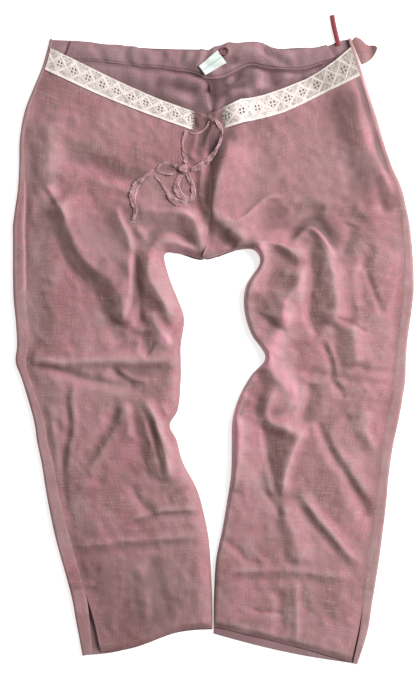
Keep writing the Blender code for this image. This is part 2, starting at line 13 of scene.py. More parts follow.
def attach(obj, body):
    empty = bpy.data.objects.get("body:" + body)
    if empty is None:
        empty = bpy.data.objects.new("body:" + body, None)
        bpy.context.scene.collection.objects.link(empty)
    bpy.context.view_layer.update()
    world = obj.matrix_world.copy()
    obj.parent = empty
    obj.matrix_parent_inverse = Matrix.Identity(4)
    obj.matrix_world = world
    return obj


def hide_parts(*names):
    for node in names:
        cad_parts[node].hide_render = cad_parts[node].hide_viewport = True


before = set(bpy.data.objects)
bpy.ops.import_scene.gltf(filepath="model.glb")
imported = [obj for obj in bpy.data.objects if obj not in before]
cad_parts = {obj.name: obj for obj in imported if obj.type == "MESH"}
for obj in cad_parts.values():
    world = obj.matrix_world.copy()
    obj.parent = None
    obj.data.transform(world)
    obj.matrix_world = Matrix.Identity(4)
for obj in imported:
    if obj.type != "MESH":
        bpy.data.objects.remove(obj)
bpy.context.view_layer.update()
print("frame loaded")

# Camera, floor and light

view = {"centre": (-0.0073, -0.0146), "height": 3.0, "fieldTall": 1.0205}
light = {"keyPower": 170.0, "keyPlace": (2.2, 1.1, 1.9), "keySize": 2.0, "skyStrength": 0.35,
         "floorGlow": 0.6}


def placed(name, data):
    made = bpy.data.objects.new(name, data)
    bpy.context.scene.collection.objects.link(made)
    return made


def newMesh(name, points, faces, material):
    mesh = bpy.data.meshes.new(name)
    mesh.from_pydata(points, [], faces)
    mesh.materials.append(material)
    return mesh


def addCamera():
    data = bpy.data.cameras.new("camera")
    data.lens = data.sensor_width * view["height"] / view["fieldTall"]
    camera = placed("camera", data)
    camera.location = (*view["centre"], view["height"])
    bpy.context.scene.camera = camera


def addLight():
    data = bpy.data.lights.new("key", "AREA")
    data.energy = light["keyPower"]
    data.size = light["keySize"]
    key = placed("key", data)
    key.location = light["keyPlace"]
    key.rotation_euler = (-key.location).to_track_quat("-Z", "Y").to_euler()
    world = bpy.data.worlds.new("studio")
    world.use_nodes = True
    world.node_tree.nodes["Background"].inputs["Color"].default_value = (1, 1, 1, 1)
    world.node_tree.nodes["Background"].inputs["Strength"].default_value = light["skyStrength"]
    bpy.context.scene.world = world
    bpy.context.scene.view_settings.view_transform = "Standard"


addCamera()
addLight()

# Materials

cloth = {
    "threadGap": 0.0016,     # the real threads are 0.55 mm apart, too fine for the picture, so drawn coarser
    "slubWidth": 0.0019, "slubLength": 0.03,     # thick places in the yarn
    "patch": 0.05,           # how far apart the faded patches are
}


def hexColour(text):
    # sRGB hex to the linear colour that a shader takes
    parts = [int(text[i:i + 2], 16) / 255 for i in (1, 3, 5)]
    return (*[c / 12.92 if c <= 0.04045 else ((c + 0.055) / 1.055) ** 2.4 for c in parts], 1)


def addNode(tree, kind, sockets=None, **settings):
    # one shader node with its settings; a socket takes a value or another node's output
    node = tree.nodes.new("ShaderNode" + kind)
    for key, value in settings.items():
        setattr(node, key, value)
    for key, value in (sockets or {}).items():
        if isinstance(value, bpy.types.NodeSocket):
            tree.links.new(value, node.inputs[key])
        else:
            node.inputs[key].default_value = value
    return node


def newMaterial(name, roughness, sheen=0.0, sheenColour="#FFFFFF"):
    made = bpy.data.materials.new(name)
    made.use_nodes = True
    shader = made.node_tree.nodes["Principled BSDF"]
    shader.inputs["Roughness"].default_value = roughness
    shader.inputs["Specular IOR Level"].default_value = 0.25
    shader.inputs["Sheen Weight"].default_value = sheen
    shader.inputs["Sheen Roughness"].default_value = 0.6
    shader.inputs["Sheen Tint"].default_value = hexColour(sheenColour)
    return made, made.node_tree, shader


def ranged(tree, value, low, high, toLow, toHigh):
    # a value spread from one range to another, and held inside the second
    return addNode(tree, "MapRange", {0: value, 1: low, 2: high, 3: toLow, 4: toHigh}).outputs[0]


def added(tree, first, second, third=0.0):
    total = addNode(tree, "Math", {0: first, 1: second}, operation="ADD").outputs[0]
    return addNode(tree, "Math", {0: total, 1: third}, operation="ADD").outputs[0]


def mixed(tree, share, first, second):
    # one colour going over into another, each a hex text or another node's output
    first, second = (hexColour(tone) if isinstance(tone, str) else tone for tone in (first, second))
    return addNode(tree, "Mix", {0: share, 6: first, 7: second}, data_type="RGBA").outputs[2]


def mottled(tree, noise, dark, light, low=0.3, high=0.7):
    # two colours in the blots of a noise
    return mixed(tree, ranged(tree, noise, low, high, 0, 1), dark, light)


def stretchedNoise(tree, grain, across, along, detail=2.0):
    # noise whose blots are this wide across and this long along the cloth
    place = addNode(tree, "Mapping", {"Vector": grain, "Scale": (1 / across, 1 / along, 1)}).outputs[0]
    return addNode(tree, "TexNoise", {"Vector": place, "Scale": 1.0, "Detail": detail}).outputs[0]


def dress(tree, shader, tone, relief=None, strength=0.5, depth=0.0005):
    # a material's colour, and the relief that it has up close
    tree.links.new(tone, shader.inputs["Base Color"])
    if relief is not None:
        bump = addNode(tree, "Bump", {"Strength": strength, "Distance": depth, "Height": relief})
        tree.links.new(bump.outputs[0], shader.inputs["Normal"])


def attribute(tree, name):
    return addNode(tree, "Attribute", attribute_name=name).outputs["Fac"]


def grainOf(tree):
    # the cloth's own coordinates, in metres across and along its threads
    return addNode(tree, "UVMap", uv_map="grain").outputs[0]


def washedLinen(name, warp, weft, fadedAndLit, deepAndShaded):
    # washed linen, plain woven with a rose warp and a grey-brown weft: matte, slubby, uneven in colour.
    # Faces that turn toward the key light are painted with more of the pale rose warp and those turned away with more
    # of the dark weft: painted light and shade.
    made, tree, shader = newMaterial(name, 0.88, sheen=0.12, sheenColour="#F0D8DA")
    grain = grainOf(tree)
    here = addNode(tree, "TexCoord").outputs["Object"]
    weftSlubs = stretchedNoise(tree, grain, cloth["slubLength"], cloth["slubWidth"])
    warpSlubs = stretchedNoise(tree, grain, cloth["slubWidth"], cloth["slubLength"])
    specks = stretchedNoise(tree, grain, 0.0022, 0.0018, 1.0)
    patches = addNode(tree, "TexNoise", {"Vector": here, "Scale": 1 / cloth["patch"], "Detail": 3.0}).outputs[0]
    tints = addNode(tree, "TexNoise", {"Vector": here, "Scale": 0.5 / cloth["patch"], "Detail": 2.0},
                    noise_dimensions="4D").outputs[0]
    # painted light and shade: lean says how far a face turns toward the key light, and random patches and specks are
    # added to it
    lean = ranged(tree, attribute(tree, "lean"), -1, 1, 0.0, 1.0)
    lightAndMottleShare = added(tree, lean, ranged(tree, patches, 0.35, 0.65, -0.2, 0.2),
                      ranged(tree, specks, 0.3, 0.7, -0.2, 0.2))
    yarns = mixed(tree, lightAndMottleShare, weft, warp)
    slubs = added(tree, weftSlubs, warpSlubs)
    wearAndPaintedLight = attribute(tree, "wearAndPaintedLight")
    # slubs give real pale and dark yarn; the attribute read above paints paled crests and painted highlights pale, up
    # to a lit pink (#D392A2), and painted shade dark, down to the darkest shade colour (#452D2F); tints are random
    # patches
    for value, low, high, toLow, toHigh, tone in (
            (slubs, 0.82, 1.0, 0.0, 0.42, deepAndShaded), (slubs, 1.0, 1.22, 0.0, 0.42, fadedAndLit),
            (wearAndPaintedLight, 0.08, 1.0, 0.0, 0.5, fadedAndLit), (wearAndPaintedLight, -1.9, -0.08, 0.98, 0.0, deepAndShaded),
            (wearAndPaintedLight, -2.6, -1.3, 0.8, 0.0, "#452D2F"), (wearAndPaintedLight, 1.0, 2.0, 0.0, 0.7, "#D392A2"),
            (tints, 0.35, 0.65, 0.0, 0.3, fadedAndLit)):
        yarns = mixed(tree, ranged(tree, value, low, high, toLow, toHigh), yarns, tone)
    # painted shade: the cloth under the lace is painted grey-brown, as the shade seen through the lace's holes
    yarns = mixed(tree, attribute(tree, "shadeBehindLace"), yarns, "#8B8078")
    threads = []
    for scale in ((1 / cloth["threadGap"], 0, 0), (0, 1 / cloth["threadGap"], 0)):
        place = addNode(tree, "Mapping", {"Vector": grain, "Scale": scale}).outputs[0]
        row = addNode(tree, "VectorMath", {0: place, 1: (1, 1, 0)}, operation="DOT_PRODUCT").outputs["Value"]
        turn = addNode(tree, "Math", {0: row, 1: math.tau}, operation="MULTIPLY").outputs[0]
        threads.append(addNode(tree, "Math", {0: turn}, operation="SINE").outputs[0])
    weave = addNode(tree, "Math", {0: threads[0], 1: threads[1]}, operation="MULTIPLY").outputs[0]
    relief = added(tree, ranged(tree, weave, -1, 1, 0, 0.25), slubs, specks)
    dress(tree, shader, yarns, relief, 0.55, 0.0006)
    return made


# the last two colours: the pale one for pale slubs, paled crests and painted highlights, the dark one for dark slubs
# and painted shade
linen = washedLinen("washed linen, rose", "#B57983", "#7A5A54", "#AF9191", "#6A4A4C")
linenInside = washedLinen("washed linen, inside", "#966E76", "#7D6462", "#A08487", "#5C4246")


def crochetCotton():
    # crocheted cotton in cream: soft matte thread, greyer where it is handled, and darker where painted shade lies
    made, tree, shader = newMaterial("crochet cotton, cream", 0.9, sheen=0.15)
    grain = grainOf(tree)
    thread = stretchedNoise(tree, grain, 0.0014, 0.0011)
    soil = stretchedNoise(tree, grain, 0.02, 0.02)
    tone = mottled(tree, thread, "#D2C4BF", "#F6EDEA")
    tone = mixed(tree, ranged(tree, soil, 0.35, 0.65, 0, 0.35), tone, "#D9C3BE")
    # painted shade from the shade attribute: darker on the net between the solid bars and at the lace's ends
    tone = mixed(tree, ranged(tree, attribute(tree, "shade"), 0.2, 2.4, 0, 0.9), tone, "#998F86")
    dress(tree, shader, tone, thread, 0.7)
    return made


def linenTape():
    # linen tape cut on the straight and left raw: rose in the middle, pale where the edges fray
    made, tree, shader = newMaterial("linen tape, frayed", 0.9, sheen=0.2)
    mottle = stretchedNoise(tree, grainOf(tree), 0.0018, 0.006)
    tone = mottled(tree, mottle, "#8A6266", "#AC848A")
    frayed = added(tree, attribute(tree, "edge"), ranged(tree, mottle, 0.3, 0.7, -0.25, 0.25))
    tone = mixed(tree, ranged(tree, frayed, 0.5, 1.0, 0, 0.85), tone, "#D8BFC0")
    dress(tree, shader, tone, mottle, 0.6)
    return made


def spunThread():
    # loose linen thread, paler than the cloth because it has lost its dye at the raw edge
    made, tree, shader = newMaterial("loose linen thread", 0.85, sheen=0.2)
    here = addNode(tree, "TexCoord").outputs["Object"]
    mottle = addNode(tree, "TexNoise", {"Vector": here, "Scale": 400.0}).outputs[0]
    dress(tree, shader, mottled(tree, mottle, "#A88488", "#D8C0C1", 0.35, 0.65))
    return made


def wovenSatin(name, light, dark, roughness):
    # polyester satin, woven tight: a soft gloss along the threads
    made, tree, shader = newMaterial(name, roughness)
    shader.inputs["Specular IOR Level"].default_value = 0.5
    threads = stretchedNoise(tree, grainOf(tree), 0.0009, 0.012, 1.0)
    dress(tree, shader, mottled(tree, threads, dark, light), threads, 0.4, 0.0002)
    return made


def coatedPaper():
    # the matte white table
    made, tree, shader = newMaterial("matte white table", 0.9)
    here = addNode(tree, "TexCoord").outputs["Object"]
    mottle = addNode(tree, "TexNoise", {"Vector": here, "Scale": 6.0}).outputs[0]
    dress(tree, shader, mixed(tree, mottle, "#F4F4F4", "#FAFAFA"))
    shader.inputs["Emission Color"].default_value = (1, 1, 1, 1)
    shader.inputs["Emission Strength"].default_value = light["floorGlow"]
    return made


crochet = crochetCotton()
tapeCloth = linenTape()
looseThread = spunThread()
ribbonSatin = wovenSatin("woven satin, dark red", "#8C2C34", "#641A20", 0.5)
braid = wovenSatin("braided cord, red-brown", "#85504C", "#5C2E2B", 0.6)
print("materials made")


def addFloor():
    half = 14.0
    corners = [(-half, -half, 0), (half, -half, 0), (half, half, 0), (-half, half, 0)]
    floor = placed("table", newMesh("table", corners, [(0, 1, 2, 3)], coatedPaper()))
    floor.location.z = -0.0004


addFloor()

# The form that every panel lies in

legFields = ("frontX", "frontY", "backX", "backY", "sideX", "sideY", "roll", "slit", "frontBow", "frontSkew", "backBow")


def legLine(name, frontX, frontY, sideX, sideY, roll, back=None, bow=(0, 0), slit=0, skew=0):
    # a line across one leg, in mm: the front's inner end, the outer edge and how far the back rolls over it; then the
    # back's inner end if it isn't the front's, how far front and back bow down, the slit's width and the front's skew
    backX, backY = back or (frontX, frontY)
    values = (frontX, frontY, backX, backY, sideX, sideY, roll, slit, bow[0], skew, bow[1])
    return name, [value / 1000 for value in values]


rightLeg = (
    legLine("waist", -6, 328, -237, 439, 5, back=(-4, 424), bow=(6, -4)),
    legLine("lace middle", -5, 312, -243, 415, 5, back=(-4, 408), bow=(6, -4)),
    legLine("lace foot", -5, 296, -250, 393, 5, back=(-4, 391), bow=(4, -4)),
    legLine("yoke", -4, 271, -262, 364, 6, back=(-4, 350), bow=(3, 0)),
    legLine("high hip", -3, 245, -274, 332, 7, back=(-4, 313)),
    legLine("hip", -2, 219, -281, 293, 7, back=(-4, 277)),
    legLine("low hip", -3, 192, -282, 253, 9, back=(-4, 240)),
    legLine("seat", -5, 164, -284, 218, 12, back=(-5, 204), bow=(-5, -5)),
    legLine("rise", -9, 138, -288, 190, 16, back=(-8, 163), bow=(-12, -12)),
    legLine("crotch", -12, 118, -291, 166, 18, bow=(-20, -20)),
    legLine("fork", -42, 124, -291, 145, 18, bow=(-14, -14)),
    legLine("fork end", -69, 125, -291, 122, 19, bow=(-6, -6)),
    legLine("top of thigh", -64, 94, -291, 93, 19),
    legLine("thigh", -50, 58, -290, 58, 19),
    legLine("low thigh", -41, 30, -287, 28, 19),
    legLine("above knee", -46, -8, -285, -7, 18),
    legLine("knee", -46, -33, -287, -33, 16),
    legLine("below knee", -46, -59, -278, -58, 13),
    legLine("top of calf", -50, -101, -265, -101, 15),
    legLine("calf", -62, -125, -259, -126, 16),
    legLine("middle of calf", -52, -147, -256, -148, 16),
    legLine("low calf", -43, -179, -249, -182, 18),
    legLine("shin", -24, -215, -243, -220, 19),
    legLine("low shin", -14, -247, -237, -252, 20),
    legLine("ankle", -5, -294, -227, -297, 22),
    legLine("top of slit", -1, -363, -207, -369, 22),
    legLine("slit", 0, -395, -199, -411, 20, bow=(-1, -1), slit=6, skew=-2),
    legLine("hem", 0, -422, -189.5, -461, 15, back=(0, -423), bow=(-1, -1), slit=12, skew=-5),
)

leftLeg = (
    legLine("waist", -6, 328, 202, 440, 5, back=(-4, 424), bow=(15, -4)),
    legLine("lace middle", -5, 312, 211, 412, 5, back=(-4, 408), bow=(13, -4)),
    legLine("lace foot", -5, 296, 220, 385, 5, back=(-4, 391), bow=(12, -4)),
    legLine("yoke", -4, 271, 230, 353, 5, back=(-4, 350), bow=(7, 0)),
    legLine("high hip", -3, 245, 240, 322, 6, back=(-4, 313), bow=(3, 0)),
    legLine("hip", -2, 219, 250, 287, 6, back=(-4, 277)),
    legLine("low hip", -3, 192, 261, 254, 6, back=(-4, 240)),
    legLine("seat", -5, 164, 275.5, 222, 7, back=(-5, 204), bow=(-5, -5)),
    legLine("rise", -9, 138, 282.5, 193, 9, back=(-8, 163), bow=(-14, -14)),
    legLine("crotch", -12, 118, 287.5, 168, 12, bow=(-26, -26)),
    legLine("fork", 30, 129, 290.5, 144, 13, bow=(-20, -20)),
    legLine("fork end", 59, 131, 292.5, 118, 13, bow=(-12, -12)),
    legLine("top of thigh", 69, 112, 293.5, 98, 15),
    legLine("thigh", 49, 78, 293.5, 71, 16),
    legLine("low thigh", 46, 45, 290.5, 42, 15),
    legLine("above knee", 56, 9, 285.5, 7, 15),
    legLine("knee", 77, -26, 282.5, -28, 15),
    legLine("below knee", 56, -53, 281.5, -58, 18),
    legLine("top of calf", 39, -84, 277.5, -85, 16),
    legLine("calf", 29, -118, 271.5, -118, 18),
    legLine("middle of calf", 28, -155, 263.5, -155, 16),
    legLine("low calf", 27, -196, 257.5, -196, 15),
    legLine("shin", 21, -237, 253.5, -239, 16),
    legLine("low shin", 14, -278, 248.5, -281, 17),
    legLine("ankle", 5, -322, 242.5, -326, 17),
    legLine("top of slit", 2, -372, 233.5, -382, 14, bow=(-3, 3)),
    legLine("slit", 1.5, -398, 226.5, -426, 12, back=(1.5, -401), bow=(-2, 4), slit=2),
    legLine("hem", 1.5, -419, 211.5, -473.5, 7, back=(1.5, -429), bow=(-2, 4.5), slit=3),
)

panel = {
    "rowGap": 0.0027, "columns": 94, "flatColumns": 58, "rollSteps": 10,
    "wall": 0.0009, "seamGap": 0.0001, "lean": 0.22, "keyLightWay": (0.93, 0.37), "lap": 0.0003,
    "heightPlaces": (-0.47, -0.43, -0.39, -0.3, -0.12, 0.1, 0.24, 0.33, 0.44),
    "loft": (0.0046, 0.007, 0.0102, 0.013, 0.014, 0.0155, 0.0145, 0.0115, 0.008),
    "side": (0.0054, 0.0064, 0.0076, 0.0084, 0.009, 0.0094, 0.0088, 0.0074, 0.0066),
    "sideSlope": 0.045, "sideBlend": 0.013, "lowest": 0.0038, "lowestRound": 0.003,
    "inseamHeight": 0.003, "inseamColumns": 0.4, "inseamRound": {"right": 0.024, "left": 0.006},
    "hemHeight": 0.0026, "hemReach": 0.012,
    "fade": 0.2, "sideCreases": 0.5, "comesThrough": 0.15, "laceStart": 0.09,
    "rumple": 0.0006, "rumpleSize": 0.021, "pucker": 0.0005, "puckerSize": 0.008,
}

# how far the front's waist edge and the lace's foot sag below their straight lines, from the centre to the side
sag = {
    "right": {"share": (0, 0.13, 0.31, 0.5, 0.69, 0.85, 1),
              "edge": (0.003, 0.0055, 0.0078, 0.0086, 0.0096, 0.0106, 0.0125),
              "foot": (0, 0, 0, 0, 0, -0.001, -0.002)},
    "left": {"share": (0, 0.12, 0.23, 0.38, 0.49, 0.62, 0.69, 0.79, 0.89, 1),
             "edge": (0, -0.003, -0.006, 0.001, 0.0045, 0.0095, 0.0128, 0.0145, 0.0142, 0.0118),
             "foot": (-0.003, -0.006, -0.0075, -0.005, -0.0032, -0.0038, -0.0042, -0.004, -0.0022, -0.001)},
}

# each ridge or trough, in mm: its height, its width to the left and right of its path, how crisp it is from 0 to 1,
# and the x and y of each place on its path
creases = {
    "right hip step": (10.5, 50, 22, 0.95, -229, 204, -223, 194, -217, 183, -208, 158, -198, 134, -185, 115, -169, 101,
        -150, 87),
    "right hip step top": (3.5, 14, 6, 0.9, -242, 226, -236, 215, -227, 201, -217, 184, -211, 167),
    "right hip step foot": (7.2, 26, 32.5, 0.3, -169, 104, -150, 87, -134, 64, -129, 40, -137, 21),
    "right hip hollow": (-4.5, 26, 22, 0, -226, 277, -186, 258, -138, 240, -94, 224),
    "right hip top ridge": (2.2, 20, 20, 0.2, -236, 320, -235, 277, -241, 236),
    "right groin ridge": (5, 6.5, 18, 0.9, -139, 196, -134, 176, -125, 158, -119, 141, -118, 122),
    "right thigh crest": (10.8, 7, 44, 0.95, -118, 131, -119, 94, -120, 65, -125, 42, -137, 23),
    "right thigh valley": (-4.4, 12.5, 7.8, 0.6, -112, 128, -112, 101, -109, 72, -107, 43, -110, 14),
    "right lobe crest": (10.8, 30, 24, 0.9, -77, 125, -93, 112, -91, 88, -80, 69, -68, 49, -62, 20),
    "right lobe foot": (5, 14, 17.5, 0.6, -91, 45, -85, 26, -72, 7, -56, -8),
    "right thigh nick": (-3.1, 7.8, 12.5, 0.9, -65, -5, -56, 9, -46, 23, -39, 31),
    "right thigh pit": (-4, 18.7, 18.2, 0.3, -104, 14, -99, -8, -88, -18),
    "right thigh low dark": (-3.2, 25, 20.8, 0.2, -147, 31, -144, 7, -129, -5, -106, -9),
    "arc ridge": (6.5, 16.5, 22, 0.7, -122, 178, -106, 186, -87, 188.5, -59, 187, -40, 184, -26.5, 172.5, -20, 154,
        -17, 133.6, -16, 122),
    "arc trough": (-4.8, 16, 9, 0.7, -101, 128, -94, 142, -83, 152, -72, 156.5, -60, 155.5, -50, 152, -33, 142, -17,
        135.5),
    "crotch rim ridge": (3, 8, 10, 0.5, -90, 126, -77, 140, -56, 140.5, -37, 134, -21, 126),
    "bow shadow crease": (-2.5, 7.8, 10.4, 0.7, -91, 195, -69, 193, -47, 196, -27, 199),
    "crotch side ridge": (3.1, 10, 12.5, 0.3, -113, 163, -101, 151, -91, 137),
    "right knee upper ridge": (4.8, 22, 12, 0.7, -285, -33, -237, -33, -186, -31, -135, -31, -91, -31, -45, -30),
    "right knee long crease": (-4.3, 10.4, 11.7, 0.8, -281, -33, -245, -39, -217, -47, -182, -58, -153, -64, -120, -68,
        -99, -65),
    "right knee high crease": (-2, 10.4, 10.4, 0.5, -252, -18, -208, -26, -164, -18, -109, -7),
    "right knee dark patch": (-3.2, 18.2, 18.2, 0.1, -153, -46, -128, -53, -91, -47, -53, -39),
    "right knee short crease": (-2.3, 7.8, 7.8, 0.8, -150, -39, -132, -55, -113, -66),
    "right knee small ridge": (2, 6, 6, 0.6, -138, -43, -118, -56, -91, -61),
    "right wavy crease": (-2.2, 10.9, 11.7, 0.7, -205, -56, -211, -81, -210, -103, -207, -129, -212, -153, -217, -176,
        -218, -205, -214, -242, -207, -269),
    "right wavy lip": (2, 9, 8.8, 0.5, -199, -59, -204, -88, -201, -129, -208, -161, -211, -202),
    "right shin band": (-3.2, 21.8, 18.2, 0.4, -139, -82, -145, -110, -154, -132, -169, -154, -182, -173, -193, -193),
    "right shin band lip": (2.3, 12, 10, 0.4, -129, -85, -134, -118, -150, -147, -167, -173, -182, -199),
    "right calf crest": (9.6, 14, 32, 0.9, -103, -82, -88, -106, -79, -132, -71, -158, -65, -185, -64, -208),
    "right calf crease": (-3.1, 9.4, 6.5, 0.8, -104, -94, -91, -123, -84, -151, -77, -176, -72, -205),
    "right calf lit ridge": (3.1, 12, 15, 0.3, -129, -91, -123, -118, -123, -147),
    "right calf foot": (-2.5, 10.9, 13, 0.7, -118, -205, -109, -230, -96, -246, -80, -253),
    "right inner lump": (3.1, 9, 12.5, 0.5, -80, -94, -66, -109, -74, -129, -65, -153, -50, -179),
    "right inner lump dip": (-2.5, 10.9, 10.4, 0.6, -88, -106, -87, -132, -74, -155, -65, -185),
    "right side crease": (-2.3, 7.8, 7.8, 0.7, -69, -234, -53, -223, -33, -211),
    "right ankle crease": (-2.2, 6.5, 9.1, 0.9, -135, -275, -106, -265, -74, -256, -40, -255, -11, -252),
    "right ankle ridge": (2, 9, 6, 0.5, -120, -264, -77, -249, -18, -246),
    "right hem crease": (-1.7, 10.4, 11.7, 0.7, -223, -318, -186, -312, -150, -306, -91, -300, -40, -297, -8, -296),
    "right hem ridge": (2, 10, 8, 0.3, -220, -304, -150, -294, -91, -290, -18, -285),
    "right hem fold": (-2.8, 14, 15.6, 0.5, -94, -310, -84, -339, -75, -366, -66, -389, -65, -415),
    "right hem soft ridge": (2.3, 14, 15, 0.2, -109, -322, -100, -366, -94, -412),
    "right slit crumple one": (1.6, 5, 5, 0.7, -205, -351, -188, -356, -170, -354),
    "right slit crumple two": (-1.6, 5.2, 5.2, 0.7, -202, -360, -185, -364, -167, -363),
    "right hip side dark": (-2.2, 15.6, 13, 0.2, -270, 286, -267, 250, -264, 205),
    "right shin side ridge": (2, 12, 15, 0.2, -234, -88, -234, -147, -228, -220),
    "front overhang": (12.5, 60, 20, 0.75, 42, 315, 27, 291, 18, 268, 10, 239, 4, 210, 2, 188, 8, 173.5, 20, 165, 34,
        153.5, 48, 143, 60, 135),
    "front valley": (-2.3, 12.5, 11.7, 0.4, 2, 300, -2, 262, -8, 218, -9, 186),
    "front small fold one": (2, 6, 7.5, 0.6, -9, 277, -14, 245, -17, 210, -11, 183),
    "front small fold two": (-2, 7.8, 6.5, 0.6, -23, 247, -24, 218, -20, 192),
    "centre opening dark": (-3.1, 14, 9.1, 0.4, -2, 338, -9, 320, -12, 300, -15, 277),
    "centre opening lump": (3.1, 6, 7.5, 0.6, -23, 335, -14, 328, -5, 323, 2, 313),
    "centre opening fold one": (2.3, 5, 7.5, 0.8, 7, 332, 2, 315, -7, 294, -11, 274),
    "centre opening fold two": (-2.3, 7.8, 6.5, 0.7, -28, 325, -26, 315, -18, 300, -20, 277),
    "centre opening fold three": (2, 5, 8.8, 0.8, -18, 320, -21, 297, -28, 274, -30, 259),
    "crotch seam ridge": (1.4, 7, 8.8, 0.4, 2, 166, 1, 145, -2, 125),
    "crotch left dark": (-4, 18.7, 13, 0.3, 14, 160, 23, 145, 34, 134),
    "left curl crease": (3, 4, 9, 0.9, 12, 178, 20, 174, 31, 172, 46, 178, 61, 192, 75, 204, 91, 208, 107, 207),
    "left hip dark band": (-3.6, 18.2, 18.2, 0.1, 61, 183, 93, 182, 128, 183, 163, 183),
    "left hip crest": (8.5, 26, 37, 0.4, 200, 385, 208, 362, 213, 335, 218, 306, 228, 277, 241, 253, 253, 228, 263,
        206),
    "left hip ridge": (1.5, 14, 17.5, 0.2, 176, 262, 186, 233, 192, 204),
    "left hip side dark": (-3.2, 21.8, 15.6, 0.1, 236, 240, 247, 211, 259, 182),
    "left hip lower ridge": (3, 16, 14, 0.2, 204, 192, 224, 183, 250, 189),
    "left groin ridge": (7.5, 24, 15, 0.5, 50, 140, 64, 139, 80, 140.5, 98, 137.5, 109, 131.5, 123, 121, 136, 116),
    "left inner ridge": (7.2, 32, 10, 0.5, 69, 145, 66, 122, 55, 101, 49, 78, 49, 58),
    "left facet valley": (-3.2, 37.4, 13, 0.4, 93, 139, 87, 119, 84, 94, 78, 72),
    "left facet crest": (11.2, 24, 42, 0.9, 131, 113, 128, 93, 122, 75, 110, 62, 103, 49, 101, 30, 95, 17),
    "left facet underfold": (-1.5, 15.6, 11.7, 0.5, 106, 53, 97, 37, 84, 20, 72, 5),
    "left arch trough": (-3.7, 13, 10.4, 0.6, 104, 131, 115, 148, 126, 164, 139, 174, 153, 173, 164, 158, 176, 139,
        188, 125),
    "left arch ridge": (4.7, 6, 12, 0.6, 113, 137, 126, 151, 139, 161, 153, 155, 166, 138, 180, 113),
    "left arch shade": (-2.3, 15.6, 13, 0.1, 113, 186, 139, 191, 166, 185),
    "left thigh valley": (-4.8, 21.8, 10.4, 0.6, 144, 145, 144, 113, 141, 80, 139, 46, 145, 20, 158, 2),
    "left thigh crest": (9.5, 26, 36, 0.8, 151, 148, 169, 113, 177, 72, 179, 43, 169, 20),
    "left pink ridge": (5, 30, 22, 0.4, 134, 101, 126, 65, 109, 28, 87, -6, 83, -33, 94, -56, 115, -77, 129, -94),
    "left knee dark": (-4.8, 18.7, 13, 0.5, 142, -62, 142, -82, 134, -106, 128, -123),
    "left thigh patch crest": (6, 26, 26, 0.9, 201, 28, 205, 2, 207, -18, 212, -39),
    "left thin crease": (-1.5, 7.8, 6.5, 0.9, 157, 2, 167, -21, 173, -42, 174, -62, 186, -80),
    "left thin crease lip": (1.6, 8, 6.2, 0.6, 166, -1, 177, -27, 183, -56),
    "left outer short crease": (-2.3, 5.2, 6.5, 0.9, 177, 33, 201, 24, 227, 9),
    "left outer thin crease": (-2.3, 7.8, 6.5, 0.8, 221, 107, 230, 81, 240, 56, 247, 34),
    "left outer dark one": (-2.8, 14, 11.7, 0.3, 204, 169, 198, 145, 193, 119),
    "left outer dark two": (-2.5, 14, 11.7, 0.3, 233, 137, 224, 119, 221, 99),
    "left outer soft ridge": (3, 16, 17.5, 0.1, 204, 113, 204, 72, 210, 40),
    "left knee side crease": (-1.4, 7.8, 10.4, 0.8, 210, -39, 230, -45, 252, -46, 271, -46),
    "left knee cross crease": (-1.4, 10.4, 10.4, 0.5, 110, -42, 142, -47, 179, -53, 215, -61, 239, -61),
    "left knee short crease": (-2, 7.8, 6.5, 0.8, 176, -62, 186, -74, 192, -88),
    "left knee edge": (8, 24, 15, 0.8, 93, -65, 84, -85, 78, -106, 84, -120, 103, -128, 128, -131),
    "left knee inner dark": (-3.2, 21.8, 18.2, 0.2, 72, -39, 61, -62, 49, -85),
    "left shin lobe": (7.2, 40, 10, 0.5, 34, -106, 37, -132, 37, -161, 34, -191, 28, -223),
    "left shin lobe top": (2.3, 14, 12, 0.4, 40, -106, 58, -112, 72, -123),
    "left triangle valley": (-3.2, 21.8, 9.1, 0.5, 74, -126, 78, -154, 84, -183, 91, -211, 94, -234),
    "left triangle crest": (10.8, 14, 34, 0.9, 134, -126, 123, -147, 113, -173, 104, -202, 100, -231),
    "left low crease": (-2.5, 9.4, 7.8, 0.8, 72, -214, 82, -230, 93, -245, 99, -261),
    "left low facet": (4.8, 26, 20, 0.3, 101, -234, 110, -264, 122, -300, 128, -329),
    "left long crease": (-2.8, 21.8, 10.4, 0.8, 154, -103, 157, -126, 166, -153, 180, -176, 195, -199, 212, -226, 227,
        -252, 242, -284),
    "left long crease lip": (3.1, 14, 10, 0.5, 169, -118, 177, -153, 195, -182, 212, -208, 230, -237),
    "left shin ridge": (4.5, 16, 12.5, 0.9, 122, -223, 137, -237, 151, -258, 169, -278, 189, -303, 207, -318, 221,
        -326),
    "left shin under ridge": (-2.3, 10.9, 13, 0.5, 128, -240, 145, -264, 166, -287, 189, -313),
    "left side valley": (-3.2, 18.7, 15.6, 0.4, 193, -202, 212, -234, 227, -264),
    "left outer hollow": (-1.8, 18.7, 15.6, 0.2, 193, -106, 201, -132, 215, -155, 230, -188),
    "left outer ridge": (2.3, 12, 15, 0.2, 224, -100, 224, -132, 233, -164),
    "left inner crease": (-2.5, 9.4, 9.1, 0.7, 14, -287, 28, -300, 40, -310, 49, -325),
    "left hem crease": (-1.4, 10.4, 10.4, 0.5, 8, -351, 47, -348, 106, -348, 157, -354, 212, -363),
    "left hem ridge": (1.4, 12, 8, 0.2, 11, -337, 106, -335, 208, -348),
    "left press crease": (2, 6, 10, 0.8, 123, -344, 123, -380, 123, -417, 123, -446),
    "left hem dark patch": (-2.3, 15.6, 13, 0.2, 93, -363, 99, -398, 94, -436),
    "left hem short crease": (-2, 6.5, 6.5, 0.7, 55, -393, 77, -396, 101, -398),
